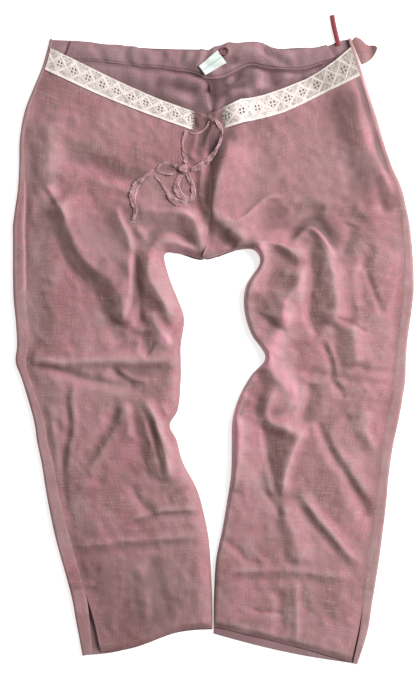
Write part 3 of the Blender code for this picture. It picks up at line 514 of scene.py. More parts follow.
    "left side pucker one": (-1.6, 5.2, 5.2, 0.8, 227, -322, 239, -325, 250, -322),
    "left side pucker two": (-1.6, 5.2, 5.2, 0.8, 218, -363, 230, -367, 242, -366),
    "left side pucker three": (-1.6, 5.2, 5.2, 0.8, 233, -246, 245, -249, 256, -246),
}


def bell(share):
    return np.exp(-share**2)


def smoothStep(share):
    share = np.clip(share, 0, 1)
    return share * share * (3 - 2 * share)


def between(before, start, end, after, share):
    # a point on the smooth curve through four others, between the middle two
    return 0.5 * (2 * start + (end - before) * share
                  + (2 * before - 5 * start + 4 * end - after) * share**2
                  + (3 * start - before - 3 * end + after) * share**3)


def blend(first, second, share):
    # share of the way from the first to the second
    return first + (second - first) * share


def paired(*values):
    # coordinates side by side in one array
    return np.stack(np.broadcast_arrays(*values), -1)


def raised(place, height):
    # flat places with their heights
    return np.concatenate([place, height[..., None]], -1)


def lengthsAlong(points):
    # how far along a path each of its points is
    return np.concatenate([[0], np.cumsum(np.linalg.norm(np.diff(points, axis=0), axis=1))])


def unit(vectors):
    return vectors / np.linalg.norm(vectors, axis=-1, keepdims=True)


def waysAlong(path):
    # at each point of a path, the way along it, the way aside and the way above
    way = unit(np.gradient(path, axis=0))
    aside = unit(np.cross(way, (0, 0, 1.0)))
    return way, aside, np.cross(aside, way)


def smoothPath(points, bends):
    # the smooth curve through some points, in this many steps between two of them
    points = np.asarray(points, float)
    padded = np.vstack([points[:1], points, points[-1:]])
    path = [between(*padded[i:i + 4], k / bends) for i in range(len(points) - 1) for k in range(bends)]
    return np.array(path + [points[-1]])


def evenPath(points, gap):
    # the smooth curve through some points, with a point every gap
    fine = smoothPath(points, 14)
    travelled = lengthsAlong(fine)
    wanted = np.linspace(0, travelled[-1], max(6, round(travelled[-1] / gap)) + 1)
    return paired(*[np.interp(wanted, travelled, column) for column in fine.T])


def nearestOn(path, places):
    # each place's distance from a path, its share of the way along, and whether it is on the left
    start, step = path[:-1], np.diff(path, axis=0)
    offset = places[..., None, :] - start
    share = np.clip((offset[..., 0] * step[:, 0] + offset[..., 1] * step[:, 1]) / (step**2).sum(1), 0, 1)
    distance = np.hypot(offset[..., 0] - share * step[:, 0], offset[..., 1] - share * step[:, 1])
    nearest = distance.argmin(-1)[..., None]
    cross = step[:, 0] * offset[..., 1] - step[:, 1] * offset[..., 0]
    along = (nearest + np.take_along_axis(share, nearest, -1))[..., 0] / len(step)
    onLeft = np.take_along_axis(cross, nearest, -1)[..., 0] > 0
    return np.take_along_axis(distance, nearest, -1)[..., 0], along, onLeft


def creaseHeights(place, table):
    # all troughs and ridges at these places; a crisp one has a sharp crest, a soft one a round crest
    x, y = place[..., 0], place[..., 1]
    total = np.zeros(x.shape)
    for height, left, right, crisp, *points in table.values():
        height, left, right = height / 1000, left / 1000, right / 1000
        path = smoothPath(np.reshape(points, (-1, 2)) / 1000, 5)
        reach = max(left, right)
        near = ((x > path[:, 0].min() - reach) & (x < path[:, 0].max() + reach)
                & (y > path[:, 1].min() - reach) & (y < path[:, 1].max() + reach))
        if not near.any():
            continue
        distance, along, onLeft = nearestOn(path, place[near])
        away = np.clip(distance / np.where(onLeft, left, right), 0, 1)
        crest = 0.05
        sharp = np.clip(1 + crest - np.sqrt(away**2 + crest**2), 0, 1) ** 1.3
        fade = smoothStep(np.minimum(along, 1 - along) / panel["fade"])
        total[near] += height * (crisp * sharp + (1 - crisp) * smoothStep(1 - away)) * fade
    return total


def unevenness(place, size, seed, stretch=1):
    # smooth random heights from -1 to 1, with hills this far apart
    table = np.random.RandomState(seed).uniform(-1, 1, (64, 64))
    u, v = place[..., 0] * stretch / size + 1000, place[..., 1] / size + 1000
    i, j = np.floor(u).astype(int), np.floor(v).astype(int)
    su, sv = smoothStep(u - i), smoothStep(v - j)
    corner = [table[(i + a) % 64, (j + b) % 64] for a in (0, 1) for b in (0, 1)]
    return blend(blend(corner[0], corner[2], su), blend(corner[1], corner[3], su), sv)


def rumples(place):
    # the small creases that washed linen has all over: sharp little ridges where two hills meet
    x, y = place[..., 0], place[..., 1]
    turned = paired(0.8 * x + 0.6 * y, -0.6 * x + 0.8 * y)
    broad = unevenness(turned, panel["rumpleSize"], 3) + 0.5 * unevenness(place, panel["rumpleSize"] / 2, 4)
    ridged = 1 - np.abs(broad) * 1.6
    return panel["rumple"] * ridged + panel["pucker"] * unevenness(turned, panel["puckerSize"], 5)


def fineRows(legLines):
    # the lines of one leg with smooth ones worked out between them
    values = np.array([line for _, line in legLines])
    padded = np.vstack([values[:1], values, values[-1:]])
    rows, marks = [], {}
    for i, (name, _) in enumerate(legLines):
        marks[name] = len(rows)
        if i == len(legLines) - 1:
            rows.append(values[-1])
            break
        step = values[i + 1] - values[i]
        gap = max(np.hypot(step[0], step[1]), np.hypot(step[4], step[5]))
        count = max(1, math.ceil(gap / panel["rowGap"]))
        rows += [between(*padded[i:i + 4], k / count) for k in range(count)]
    return dict(zip(legFields, np.array(rows).T)), marks


def sideSeam(rows):
    # a leg's outer edge, the way inward from it, and the side seam, which lies on the upper side
    side = paired(rows["sideX"], rows["sideY"])
    inward = unit(paired(rows["frontX"], rows["frontY"]) - side)
    return side, inward, side + inward * rows["roll"][:, None]


def seamHeights(rows):
    # how high the side seam lies on each row
    _, _, seam = sideSeam(rows)
    plain = np.interp(seam[:, 1], panel["heightPlaces"], panel["side"])
    folded = plain + panel["sideCreases"] * creaseHeights(seam, creases) + 0.0012 * unevenness(seam, 0.03, 8)
    return np.maximum(folded, panel["lowest"] + 0.001)


def softFloor(height, floor, rounding):
    # no lower than a floor, and rounded where it comes near it
    over = height - floor
    return floor + 0.5 * (over + np.sqrt(over**2 + rounding**2))


def frontGrid(rows, marks, legName, side):
    # the upper surface of one front panel, how far each point is across and along the cloth
    _, inward, seam = sideSeam(rows)
    lap = np.where(rows["slit"] > 0, rows["slit"], -panel["lap"])
    outer = seam + inward * lap[:, None]
    inner = paired(rows["frontX"] + side * panel["seamGap"] / 2, rows["frontY"])
    share = np.concatenate([[0, 0.003, 0.007], np.linspace(0.012, 0.99, panel["columns"]), [0.994, 0.9975, 1]])
    places = blend(inner[:, None], outer[:, None], share[None, :, None])
    bow = rows["frontBow"][:, None] * np.sin(math.pi * share) + rows["frontSkew"][:, None] * np.sin(math.tau * share)
    x, y = places[..., 0], places[..., 1] - bow
    width = np.linalg.norm(outer - inner, axis=1)
    fromSide = (1 - share)[None, :] * width[:, None]
    down = np.arange(len(x))[:, None]
    aboveFoot = np.clip(1 - down / marks["lace foot"], 0, 1)
    belowFoot = np.clip((marks["high hip"] - down) / (marks["high hip"] - marks["lace foot"]), 0, 1)
    edge, foot = (np.interp(share, sag[legName]["share"], sag[legName][key])[None] for key in ("edge", "foot"))
    drop = edge * aboveFoot + foot * np.minimum(1 - aboveFoot, smoothStep(belowFoot))
    place = paired(x + side * 0.3 * drop * share**3, y - drop)
    y = place[..., 1]

    loft = np.interp(y, panel["heightPlaces"], panel["loft"])
    low = np.interp(y, panel["heightPlaces"], panel["side"])
    height = blend(low, loft, smoothStep(fromSide / panel["sideSlope"]))
    height += creaseHeights(place, creases) + rumples(place)
    height = softFloor(height, panel["lowest"], panel["lowestRound"])
    height = blend(seamHeights(rows)[:, None], height, smoothStep(fromSide / panel["sideBlend"]))

    fromHem = np.cumsum(np.linalg.norm(np.diff(place, axis=0), axis=-1)[::-1], axis=0)[::-1]
    fromHem = np.concatenate([fromHem, np.zeros((1, y.shape[1]))])
    height = blend(panel["hemHeight"], height, smoothStep(0.1 + fromHem / panel["hemReach"]))

    columns = round(len(share) * panel["inseamColumns"])
    fromInseam = np.full(y.shape, 1.0)
    fromInseam[:, :columns], _, _ = nearestOn(inner[marks["crotch"]:], place[:, :columns])
    near = 1 - np.clip(fromInseam / panel["inseamRound"][legName], 0, 1)
    rounded = np.sqrt(1 - near**2)
    height = blend(panel["inseamHeight"], height, rounded)
    along = lengthsAlong((seam + inner) / 2)
    return raised(place, height), paired(share[None, :] * width[:, None], -along[:, None]), share, rounded


def backFlat(rows, side, share, row):
    # a place of a back panel on the table, share of the way from its inner edge to the side's roll
    _, inward, _ = sideSeam(rows)
    radius = seamHeights(rows) / 2
    outer = paired(rows["sideX"], rows["sideY"]) + inward * radius[:, None]
    inner = paired(rows["backX"] + side * panel["seamGap"] / 2, rows["backY"])
    place = blend(inner[row], outer[row], share[..., None])
    drop = rows["backBow"][row] * np.sin(math.pi * share) + rows["frontSkew"][row] * np.sin(math.tau * share)
    edge = np.interp(place[..., 0], waistEdge["x"], waistEdge["rise"])
    rise = edge * smoothStep((place[..., 1] - 0.392) / 0.034)
    return paired(place[..., 0], place[..., 1] - drop + rise)


def blurred(values, reach):
    # each value's average with its neighbours
    ones = np.ones(2 * reach + 1) / (2 * reach + 1)
    for axis in (0, 1):
        padded = np.pad(values, [(reach, reach) if k == axis else (0, 0) for k in (0, 1)], mode="edge")
        values = np.apply_along_axis(lambda line: np.convolve(line, ones, "valid"), axis, padded)
    return values


def creaseWearAndShade(height, reach, depth):
    # paler on the crests, as linen pales there with use, and darker in the troughs as painted shade, from -1 to 1
    return np.clip((height - blurred(height, reach)) / depth, -1, 1)


def outOf(grid):
    # the way up and out of a surface at each of its points
    out = unit(np.cross(np.gradient(grid, axis=0), np.gradient(grid, axis=1)))
    return out * np.sign(out[..., 2:3])


def facingKeyLight(grid):
    # how far the cloth faces the key light, for painted light and shade: from -1 where it falls to the left, away from
    # the light, to 1 where it falls to the right, toward it
    folded = blurred(grid[..., 2], 2) - 0.8 * blurred(grid[..., 2], 22)
    out = outOf(raised(grid[..., :2], folded))
    return np.clip(out[..., :2] @ panel["keyLightWay"] / panel["lean"], -1, 1)


def paint(mesh, name, values):
    # values on a mesh's points, for its material
    mesh.attributes.new(name, "FLOAT", "POINT").data.foreach_set("value", np.ravel(values).astype("f"))


def setGrain(mesh, grain):
    # the cloth's own coordinates on each corner of the faces
    corners = np.zeros(len(mesh.loops), int)
    mesh.loops.foreach_get("vertex_index", corners)
    mesh.uv_layers.new(name="grain").data.foreach_set("uv", grain.reshape(-1, 2)[corners].ravel().astype("f"))


def addWall(made, thick, outward=False):
    wall = made.modifiers.new("wall", "SOLIDIFY")
    wall.thickness = thick
    wall.offset = 1 if outward else -1
    return wall


def sheetObject(name, grid, grain, material, wall, facesUp, marks=None, kept=None, outward=False, lining=None):
    # a thin shell of cloth on a grid of points; marks are values painted on its points
    rows, columns = grid.shape[:2]
    index = np.arange(rows * columns).reshape(rows, columns)
    faces = np.stack([index[:-1, :-1], index[1:, :-1], index[1:, 1:], index[:-1, 1:]], -1)
    middle = grid[rows // 2, columns // 2], grid[rows // 2 + 1, columns // 2], grid[rows // 2, columns // 2 + 1]
    up = np.cross(middle[1] - middle[0], middle[2] - middle[0])[2] > 0
    if up != facesUp:
        faces = faces[..., ::-1]
    faces = faces[kept] if kept is not None else faces.reshape(-1, 4)
    used, numbered = np.unique(faces, return_inverse=True)
    mesh = newMesh(name, grid.reshape(-1, 3)[used].tolist(), numbered.reshape(faces.shape).tolist(), material)
    setGrain(mesh, grain.reshape(-1, 2)[used])
    for key, values in (marks or {}).items():
        paint(mesh, key, values.ravel()[used])
    mesh.shade_smooth()
    made = placed(name, mesh)
    solid = addWall(made, wall, outward)
    solid.use_even_offset = False
    if lining:
        mesh.materials.append(lining)
        solid.material_offset = 1
    made.modifiers.new("normals", "WEIGHTED_NORMAL")    # so that the cut edges don't darken the cloth
    return made


def ringFaces(index, closed=False):
    # the faces between rings of points, given by number
    after = np.roll(index, -1, axis=0)
    faces = np.stack([index, np.roll(index, -1, axis=1), np.roll(after, -1, axis=1), after], -1)
    return (faces if closed else faces[:-1]).reshape(-1, 4).tolist()


def tube(name, path, material, ringOf, closed=False, edgeMarks=None):
    # a skin round a path; ringOf gives each place's own ring of points
    rings = np.array([ringOf(i) for i in range(len(path))])
    count, around = rings.shape[:2]
    index = np.arange(count * around).reshape(count, around)
    faces = ringFaces(index, closed)
    if not closed:
        faces += [index[0, ::-1].tolist(), index[-1].tolist()]
    mesh = newMesh(name, rings.reshape(-1, 3).tolist(), faces, material)
    setGrain(mesh, paired(np.linspace(0, 0.02, around)[None], lengthsAlong(path)[:, None]))
    if edgeMarks is not None:
        paint(mesh, "edge", np.broadcast_to(edgeMarks, (count, around)))
    mesh.shade_smooth()
    return placed(name, mesh)


def standsFor(piece, slotName, *nodes):
    # a piece shown in place of the CAD's nodes
    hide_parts(*nodes)
    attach(piece, "root")


# The gathers that the elastic pulls into the back waist

gather = {
    "count": 17, "across": 0.43, "height": 0.0016, "runDown": 0.045, "pleat": 0.0022, "base": 0.0012,
    "wave": 0.0006, "waveSize": 0.028, "fromCasing": 0.011,
    # the casing itself
    "casing": 0.035, "reach": (-0.88, 0.84), "columns": 430, "rows": 22, "puff": 0.0022, "lift": 0.0016,
    "edgeWave": 0.0016, "fine": 0.0004, "fineSize": 0.009, "broad": 0.0011, "broadSize": 0.026,
    "stitchPlace": 0.9, "stitchWide": 0.05, "stitchDeep": 0.0009, "lowest": 0.001,
}

# folds of the back inside the waist, and of its casing
waistFolds = {
    "left slant": (3.5, 8, 16, 0.8, -91, 392, -59, 388, -34, 382, -17, 374, -7, 364),
    "left hollow": (-3, 16, 14, 0.2, -91, 373, -53, 367, -21, 353),
    "left broad ridge": (3, 20, 18, 0.2, -135, 391, -91, 376, -50, 356, -24, 341),
    "pleat one": (3, 2.5, 3, 0.8, -5, 388, -4, 373, -1, 358),
    "pleat two": (3, 2.5, 3, 0.8, 1, 391, 2, 373, 4, 357),
    "pleat three": (3, 2.5, 3, 0.8, 7, 392, 8, 373, 8, 354),
    "pleat four": (2.5, 2.5, 3, 0.8, 13, 393, 14, 376, 12, 361),
    "centre dark fold": (-3, 7, 6, 0.5, 34, 405, 37, 388, 28, 373, 17, 364),
    "centre lip": (4, 7, 5, 0.8, 26, 402, 26, 385, 20, 373),
    "cross band": (-3.5, 5, 6, 0.5, 14, 367, 31, 369, 49, 370),
    "right lump": (4.5, 16, 17, 0.4, 62, 396, 68, 382, 72, 361),
    "right lump under": (3.5, 10, 8, 0.5, 23, 356, 40, 361, 58, 358),
    "right valley": (-3, 8, 8, 0.4, 87, 396, 88, 382, 93, 367),
    "second lump": (3, 14, 12, 0.3, 107, 393, 110, 379),
    "second valley": (-3, 8, 8, 0.4, 126, 396, 131, 385, 128, 370),
    "third lump": (2.5, 8, 8, 0.4, 144, 396, 148, 388),
    "funnel ridge left": (4, 7, 9, 0.8, -8, 361, -9, 347, -4, 332),
    "funnel ridge right": (4, 7, 9, 0.8, 17, 357, 11, 341, 5, 329),
    "funnel valley": (-3, 6, 6, 0.5, 2, 358, 1, 341, 1, 326),
}

casingFolds = {
    "centre bulge": (2.4, 22, 20, 0, 14, 417, 34, 421, 55, 423, 78, 418),
    "slant crease": (-2.2, 12, 9, 0.3, 64, 433, 75, 424, 87, 414, 101, 405, 119, 399),
    "right swell": (1.6, 18, 16, 0, 93, 411, 116, 415, 139, 415, 163, 412),
    "label hollow": (-1.6, 12, 12, 0.1, 20, 434, 26, 420, 31, 399),
    "left swell": (1.4, 16, 16, 0, -220, 427, -188, 421, -158, 415, -129, 408),
    "left crease one": (-1.1, 12, 9, 0.2, -176, 434, -167, 420, -153, 402),
    "left crease two": (-1.1, 11, 9, 0.2, -120, 431, -126, 414, -120, 396),
    "left crease three": (-1, 9, 12, 0.2, -77, 429, -71, 411, -77, 393),
    "left crease four": (-1.1, 12, 9, 0.2, -39, 429, -45, 408, -37, 391),
}

# how far the back waist's edge rises above or falls below its even line, across the back
waistEdge = {
    "x": (-0.24, -0.207, -0.185, -0.149, -0.12, -0.091, -0.056, -0.021, 0.002, 0.014, 0.045, 0.061, 0.073, 0.086,
          0.098, 0.131, 0.154, 0.172, 0.187, 0.2),
    "rise": (0, -0.001, -0.003, -0.0058, -0.0078, -0.0078, -0.0058, -0.0025, -0.0005, 0.0022, 0.004, 0.0032, 0,
             -0.0075, -0.0112, -0.0108, -0.0118, -0.0085, -0.002, 0),
}

casingFoot = {
    "x": (-0.237, -0.193, -0.147, -0.115, -0.096, -0.069, -0.046, -0.021, -0.005, 0.014, 0.033, 0.052, 0.075,
          0.0985, 0.142, 0.154, 0.193),
    "y": (0.405, 0.407, 0.404, 0.399, 0.398, 0.395, 0.392, 0.386, 0.379, 0.380, 0.391, 0.401, 0.397,
          0.393, 0.3945, 0.401, 0.412),
}


def casingEnd(x):
    # how far down the casing's stitching runs at a place across the back
    wide = [np.interp(x + shift, casingFoot["x"], casingFoot["y"]) for shift in (-0.009, -0.004, 0, 0.004, 0.009)]
    return np.mean(wide, axis=0) + 0.0006 * np.sin(140 * x)


def gatherWave(x):
    # uneven pleats across the back, x metres from the centre, from 0 to 1
    turn = math.tau * gather["count"] * x / gather["across"] + 1.3 * np.sin(23 * x + 0.4) + 0.8 * np.sin(61 * x)
    strength = 0.55 + 0.45 * np.sin(17 * x + 1.1) * np.sin(39 * x + 2.0)
    centre = 0.7 * bell((x - 0.012) / 0.03)
    return (0.5 + 0.5 * np.sin(turn)) * np.clip(strength + centre, 0.2, 1.3)


def waistShare(y):
    # 1 in the waist, where the back's inside shows, and 0 in the legs
    return smoothStep((y - 0.15) / 0.05)


def backGrid(rows, marks, side):
    # the outer surface of one back panel: on the table, round the outer edge and over to the side seam
    sideLine, inward, seam = sideSeam(rows)
    radius = seamHeights(rows)[:, None] / 2
    count = len(rows["sideX"])
    share = np.concatenate([[0, 0.003, 0.008], np.linspace(0.018, 1, panel["flatColumns"] - 3)])
    flat = backFlat(rows, side, np.tile(share, (count, 1)), np.arange(count)[:, None])
    shown = np.tile(smoothStep((1 - share) / 0.06), (count, 1))
    shown[marks["rise"]:] *= smoothStep(share / 0.05)
    below = np.maximum(casingEnd(flat[..., 0]) - flat[..., 1], 0)
    pleats = gatherWave(flat[..., 0]) * np.exp(-below / gather["runDown"])
    inWaist = waistShare(flat[..., 1])
    waves = gather["wave"] * (1 + inWaist) * (1 + unevenness(flat, gather["waveSize"], 11))
    waves += gather["pleat"] * pleats
    height = (waves + gather["base"] * inWaist) * shown + creaseHeights(flat, waistFolds) * shown
    height *= np.where(below > 0, smoothStep(below / gather["fromCasing"]), 0.0)
    # the front's ridges come through to the hidden side as long shallow hollows
    height += panel["comesThrough"] * np.maximum(creaseHeights(flat, creases), 0) * shown * (1 - inWaist)
    height = softFloor(height, 0.0003, 0.0005)
    points = [raised(flat, height)]
    grain = [share[None, :] * np.linalg.norm(flat[:, -1] - flat[:, 0], axis=1)[:, None]]
    edge = sideLine + inward * radius
    for k in range(1, panel["rollSteps"] + 1):
        turn = math.pi * k / panel["rollSteps"]
        out = edge - inward * radius * math.sin(turn)
        points.append(np.concatenate([out, radius * (1 - math.cos(turn))], -1)[:, None])
        grain.append(grain[0][:, -1:] + radius * turn)
    for part in (0.33, 0.66, 1.0):
        place = edge + (seam - edge) * part
        points.append(np.concatenate([place, 2 * radius], -1)[:, None])
        grain.append(grain[0][:, -1:] + radius * math.pi + np.linalg.norm(place - edge, axis=1)[:, None])
    grid = np.concatenate(points, 1)
    across = np.concatenate(grain, 1)
    along = lengthsAlong((sideLine + flat[:, 0]) / 2)
    return grid, np.stack(np.broadcast_arrays(across, -along[:, None]), -1)


# places of painted light (above zero) and painted shade (below zero) on the cloth, in mm: centre x and y, reach across
# and along; how much
clothLightAndShade = {
    "opening": (-10, 313, 18, 14, -2.6),
    "opening, lower": (-14, 288, 18, 24, -2),
    "under the bow": (-6, 225, 12, 40, -0.3),
    "beside the overhang": (12, 282, 12, 24, -1.5),
    "under the left lace": (30, 297, 14, 14, -1.4),
    "inside the small loop": (-63, 248.5, 8, 3.5, -1.5),
    "right hip step": (-170, 100, 24, 20, -1.5),
    "right hip step, dark side": (-225, 150, 18, 28, -0.9),
    "right hip, pale": (-235, 252, 18, 30, 0.9),
    "right hip, pale, lower": (-242, 205, 12, 16, 1.7),
    "right hip, side": (-268, 245, 9, 30, -0.6),
    "right hip, lit side": (-184, 150, 32, 36, -1),
    "right hip band": (-190, 259, 26, 10, -0.7),
    "right hip band, inner": (-140, 244, 30, 11, -0.7),
    "arc, side": (-12, 167, 8, 14, 1.1),
    "arc, top": (-34, 182, 12, 6, 0.9),
    "below the overhang": (6, 168, 10, 6, -0.6),
    "crotch, left": (10, 145, 20, 14, -0.9),
    "left groin": (50, 157, 20, 8, 0.2),
    "overhang, foot": (40, 205, 25, 25, -0.4),
    "crotch rim": (-52, 133, 24, 6, 1.3),
    "left groin, lower": (75, 135, 10, 12, 1.2),
    "left hip band": (98, 172, 35, 15, -1.2),
    "overhang, top": (26, 292, 8, 20, -0.8),
    "right hip, outer": (-225, 115, 20, 30, 0.5),
    "right side": (-259, 130, 12, 25, 1.3),
    "right groin": (-90, 138, 15, 34, -1.3),
    "right groin, upper": (-74, 184, 20, 22, -1.1),
    "right groin, outer": (-136, 186, 12, 16, -0.8),
    "right hip, inner": (-152, 141, 18, 30, -0.7),
    "right thigh": (-125, 88, 16, 20, -1.4),
    "right thigh, lower": (-114, 60, 10, 14, -1),
    "right thigh, outer": (-158, 36, 16, 16, 1.1),
    "right shin": (-196, -247, 16, 20, 1),
    "opening, right": (10, 325, 10, 8, -1.8),
    "right knee": (-110, -53, 45, 14, -0.7),
    "right outer edge": (-260, 30, 22, 50, 0.7),
    "right outer edge, lower": (-240, -110, 30, 60, 0.6),
    "right hem": (-110, -370, 90, 80, -1.3),
    "left hem": (110, -410, 80, 40, 0.35),
    "left hip": (120, 250, 90, 50, -0.3),
    "left hip valley": (182, 335, 24, 55, -1.5),
    "left hip edge": (217, 350, 16, 40, -2),
    "left hip edge, lower": (243, 270, 15, 34, -1.8),
    "left side": (245, 208, 18, 36, -1),
    "left shin, inner": (49, -309, 15, 30, 0.8),
    "left shin, middle": (69, -207, 14, 20, 1.2),
    "left shin, outer": (212, -309, 20, 30, -0.8),
    "left knee, inner": (49, -104, 14, 14, -1),
    "left hip valley, lower": (212, 240, 28, 45, -1.3),
    "left arch": (150, 166, 22, 15, -2.2),
    "left arch, lower": (172, 146, 12, 16, -1.3),
    "left inner thigh": (88, -15, 12, 30, 1.8),
    "left thigh": (104, 30, 12, 50, 1.3),
    "left knee": (108, -50, 14, 30, 1.4),
    "left knee, lower": (118, -83, 12, 22, 1.7),
    "left shin": (37, -130, 14, 50, 1.6),
    "left dark band": (150, 58, 20, 50, 0.5),
    "left inseam, foot": (10, -370, 12, 30, -1.2),
    "left hem, inner": (44, -425, 20, 12, 1.2),
    "right hem, dark": (-76, -400, 14, 24, -1.2),
    "right shin, dark": (-94, -350, 12, 14, -1.1),
    "left knee, dark": (90, -105, 12, 12, -1.3),
    "left thigh, outer": (192, 120, 13, 15, -1.3),
    "left side, lower": (257, 141, 12, 18, -1.2),
    "right knee, pale": (-74, -2, 15, 14, 1.3),
    "left knee, outer": (212, -125, 14, 15, 1.1),
    "left thigh, pale": (172, 18, 13, 13, 1.1),
}

# places of painted light and shade on the back's inside, its gathers and its side strips, in mm, as in the table above
insideLightAndShade = {
    "pleats": (3, 368, 12, 14, -2.3),
    "funnel": (18, 358, 12, 16, -1.5),
    "under the casing": (40, 387, 12, 9, -1.3),
    "first lump": (66, 371, 12, 13, 1.7),
    "left fold": (-37, 354, 22, 8, 0.9),
    "second lump": (103, 382, 13, 7, 0.8),
    "left corner": (-224, 432, 12, 8, -0.8),
    "left corner, pale": (-213, 425, 10, 6, 1.1),
    "under the casing, right": (113, 393.5, 20, 5, -1.5),
    "right hem, side strip": (-188, -438, 16, 36, -2),
    "right shin, side strip": (-202, -350, 12, 30, -0.8),
    "left hip, side strip": (258, 268, 14, 30, -1.6),
}

# painted shadow on the casing beside the label's ring, in mm, as in the tables above
casingShade = {
    "beside the ring": (28.5, 408, 12, 10, -2.6),
}

# where the side seam shows as a line: from this y to that, and how pale (above zero) or dark
seamLines = {"right": (0.066, 0.233, 1.3), "left": (0.254, 0.302, -1.8)}


def seamLine(legName, y):
    low, high, amount = seamLines[legName]
    return amount * smoothStep((y - low) / 0.01) * smoothStep((high - y) / 0.01)


def lightAndShadeAt(grid, places):
    # how much painted light (above zero) or painted shade (below zero) lies on each point of a grid
    total = np.zeros(grid.shape[:2])
    for *place, amount in places.values():
        x, y, across, along = (value / 1000 for value in place)
        total += amount * bell(np.hypot((grid[..., 0] - x) / across, (grid[..., 1] - y) / along))
    return total


# how pale (above zero) or dark (below zero) each part of a panel is painted: painted shade along the front's hem, on
# the back's inside and under the casing's stitching, painted light on the left inseam's rounded edge and on the rolled
# strips, which also get a random unevenness, and darker paint beside the pale seam line; inseamLean and rollLean set
# how far the inseam's edge and the rolled strips are painted as facing the light; frontCrest and backCrest are the
# metres that a crest stands over the cloth round it where it is at its palest
panelWearAndLight = {
    "frontCrest": 0.0022, "hem": -0.9, "besideSeam": -0.8, "inseam": 0.9, "inseamLean": 0.35,
    "backCrest": 0.002, "back": -0.15, "waist": -0.65, "roll": 0.7, "rollUneven": 0.3,
    "rollLean": {"right": 0.15, "left": -0.3}, "rollMark": 1.2, "rollMarkPlace": 0.364, "rollMarkReach": 0.02,
    "casingShadow": -0.5, "casingShadowLeft": -1.3, "casingShadowReach": 0.004,
}


def addFront(legName, legLines, side):
    # one front panel, paler on its crests and along a seam line, with painted light and shade on its folds, hem and
    # inseam
    rows, marks = fineRows(legLines)
    grid, grain, share, rounded = frontGrid(rows, marks, legName, side)
    wearAndPaintedLight = creaseWearAndShade(grid[..., 2], 5, panelWearAndLight["frontCrest"])
    # painted shade along the hem's edge
    wearAndPaintedLight[-2:] = panelWearAndLight["hem"]
    line = seamLine(legName, grid[:, -1, 1])[:, None]
    wearAndPaintedLight[:, -2:] += line
    wearAndPaintedLight[:, -5:-3] += panelWearAndLight["besideSeam"] * np.maximum(line, 0)
    # painted light: near the inseam's rounded edge the cloth is painted as partly facing the light
    lean = blend(panelWearAndLight["inseamLean"], facingKeyLight(grid), rounded**3)
    # painted light on the left leg's rounded inseam edge
    if legName == "left":
        wearAndPaintedLight += panelWearAndLight["inseam"] * (1 - rounded**3)
    behindLace = np.zeros(wearAndPaintedLight.shape)
    behindLace[:marks["lace foot"], :] = (share > panel["laceStart"] + 0.01)[None, :]
    front = sheetObject(f"{legName}Front", grid, grain, linen, panel["wall"], True,
                        {"wearAndPaintedLight": wearAndPaintedLight + lightAndShadeAt(grid, clothLightAndShade), "shadeBehindLace": behindLace, "lean": lean})
    standsFor(front, "linen", f"front_{legName}")
    return {"rows": rows, "marks": marks, "side": side, "grid": grid, "share": share, "front": front, "seam": line}


def addBack(legName, rows, marks, side, line):
    # one back panel: its inside shows above the front, and its outside where it rolls over the leg's edge
    grid, grain = backGrid(rows, marks, side)
    x, y = grid[..., 0], grid[..., 1]
    # painted shadow in a band just below the casing's stitching, darker right of centre
    casingShadow = bell((casingEnd(x) - y) / panelWearAndLight["casingShadowReach"]) * (np.abs(x) < 0.16)
    roll = np.s_[:, panel["flatColumns"] - 6:]
    # paler on crests, with painted shade in the troughs and over the back's inside in the waist
    wearAndPaintedLight = creaseWearAndShade(grid[..., 2], 4, panelWearAndLight["backCrest"]) + panelWearAndLight["back"] + panelWearAndLight["waist"] * waistShare(y)
    # painted light on the rolled strip, with a random unevenness
    wearAndPaintedLight[roll] = panelWearAndLight["roll"] + panelWearAndLight["rollUneven"] * unevenness(grid[roll], 0.012, 17, stretch=2)
    onLeft = smoothStep((x - 0.03) / 0.02)
    wearAndPaintedLight += lightAndShadeAt(grid, insideLightAndShade) + (panelWearAndLight["casingShadow"] + panelWearAndLight["casingShadowLeft"] * onLeft) * casingShadow
    wearAndPaintedLight[:, -1] += line[:, 0]
    wearAndPaintedLight[:, -3] += panelWearAndLight["besideSeam"] * np.maximum(line[:, 0], 0)
    if legName == "left":
        wearAndPaintedLight[roll] += panelWearAndLight["rollMark"] * bell((y[roll] - panelWearAndLight["rollMarkPlace"]) / panelWearAndLight["rollMarkReach"])
    lean = facingKeyLight(grid)
    # the rolled strips are painted as facing toward the light on the right leg and away from it on the left, with a
    # random unevenness
    lean[roll] = panelWearAndLight["rollLean"][legName] + 0.5 * unevenness(grid[roll], 0.009, 18, stretch=2)
    piece = sheetObject(f"{legName}Back", grid, grain, linen, panel["wall"], False,
                        {"wearAndPaintedLight": wearAndPaintedLight, "lean": lean}, lining=linenInside)
    standsFor(piece, "linen", f"back_{legName}")


legs = {}
for legName, legLines, side in (("right", rightLeg, -1), ("left", leftLeg, 1)):
    leg = addFront(legName, legLines, side)
    addBack(legName, leg["rows"], leg["marks"], side, leg["seam"])
    legs[legName] = leg
    print(f"{legName} leg made, {leg['grid'].shape[0]} rows")

# Gathered casing inside the back waist


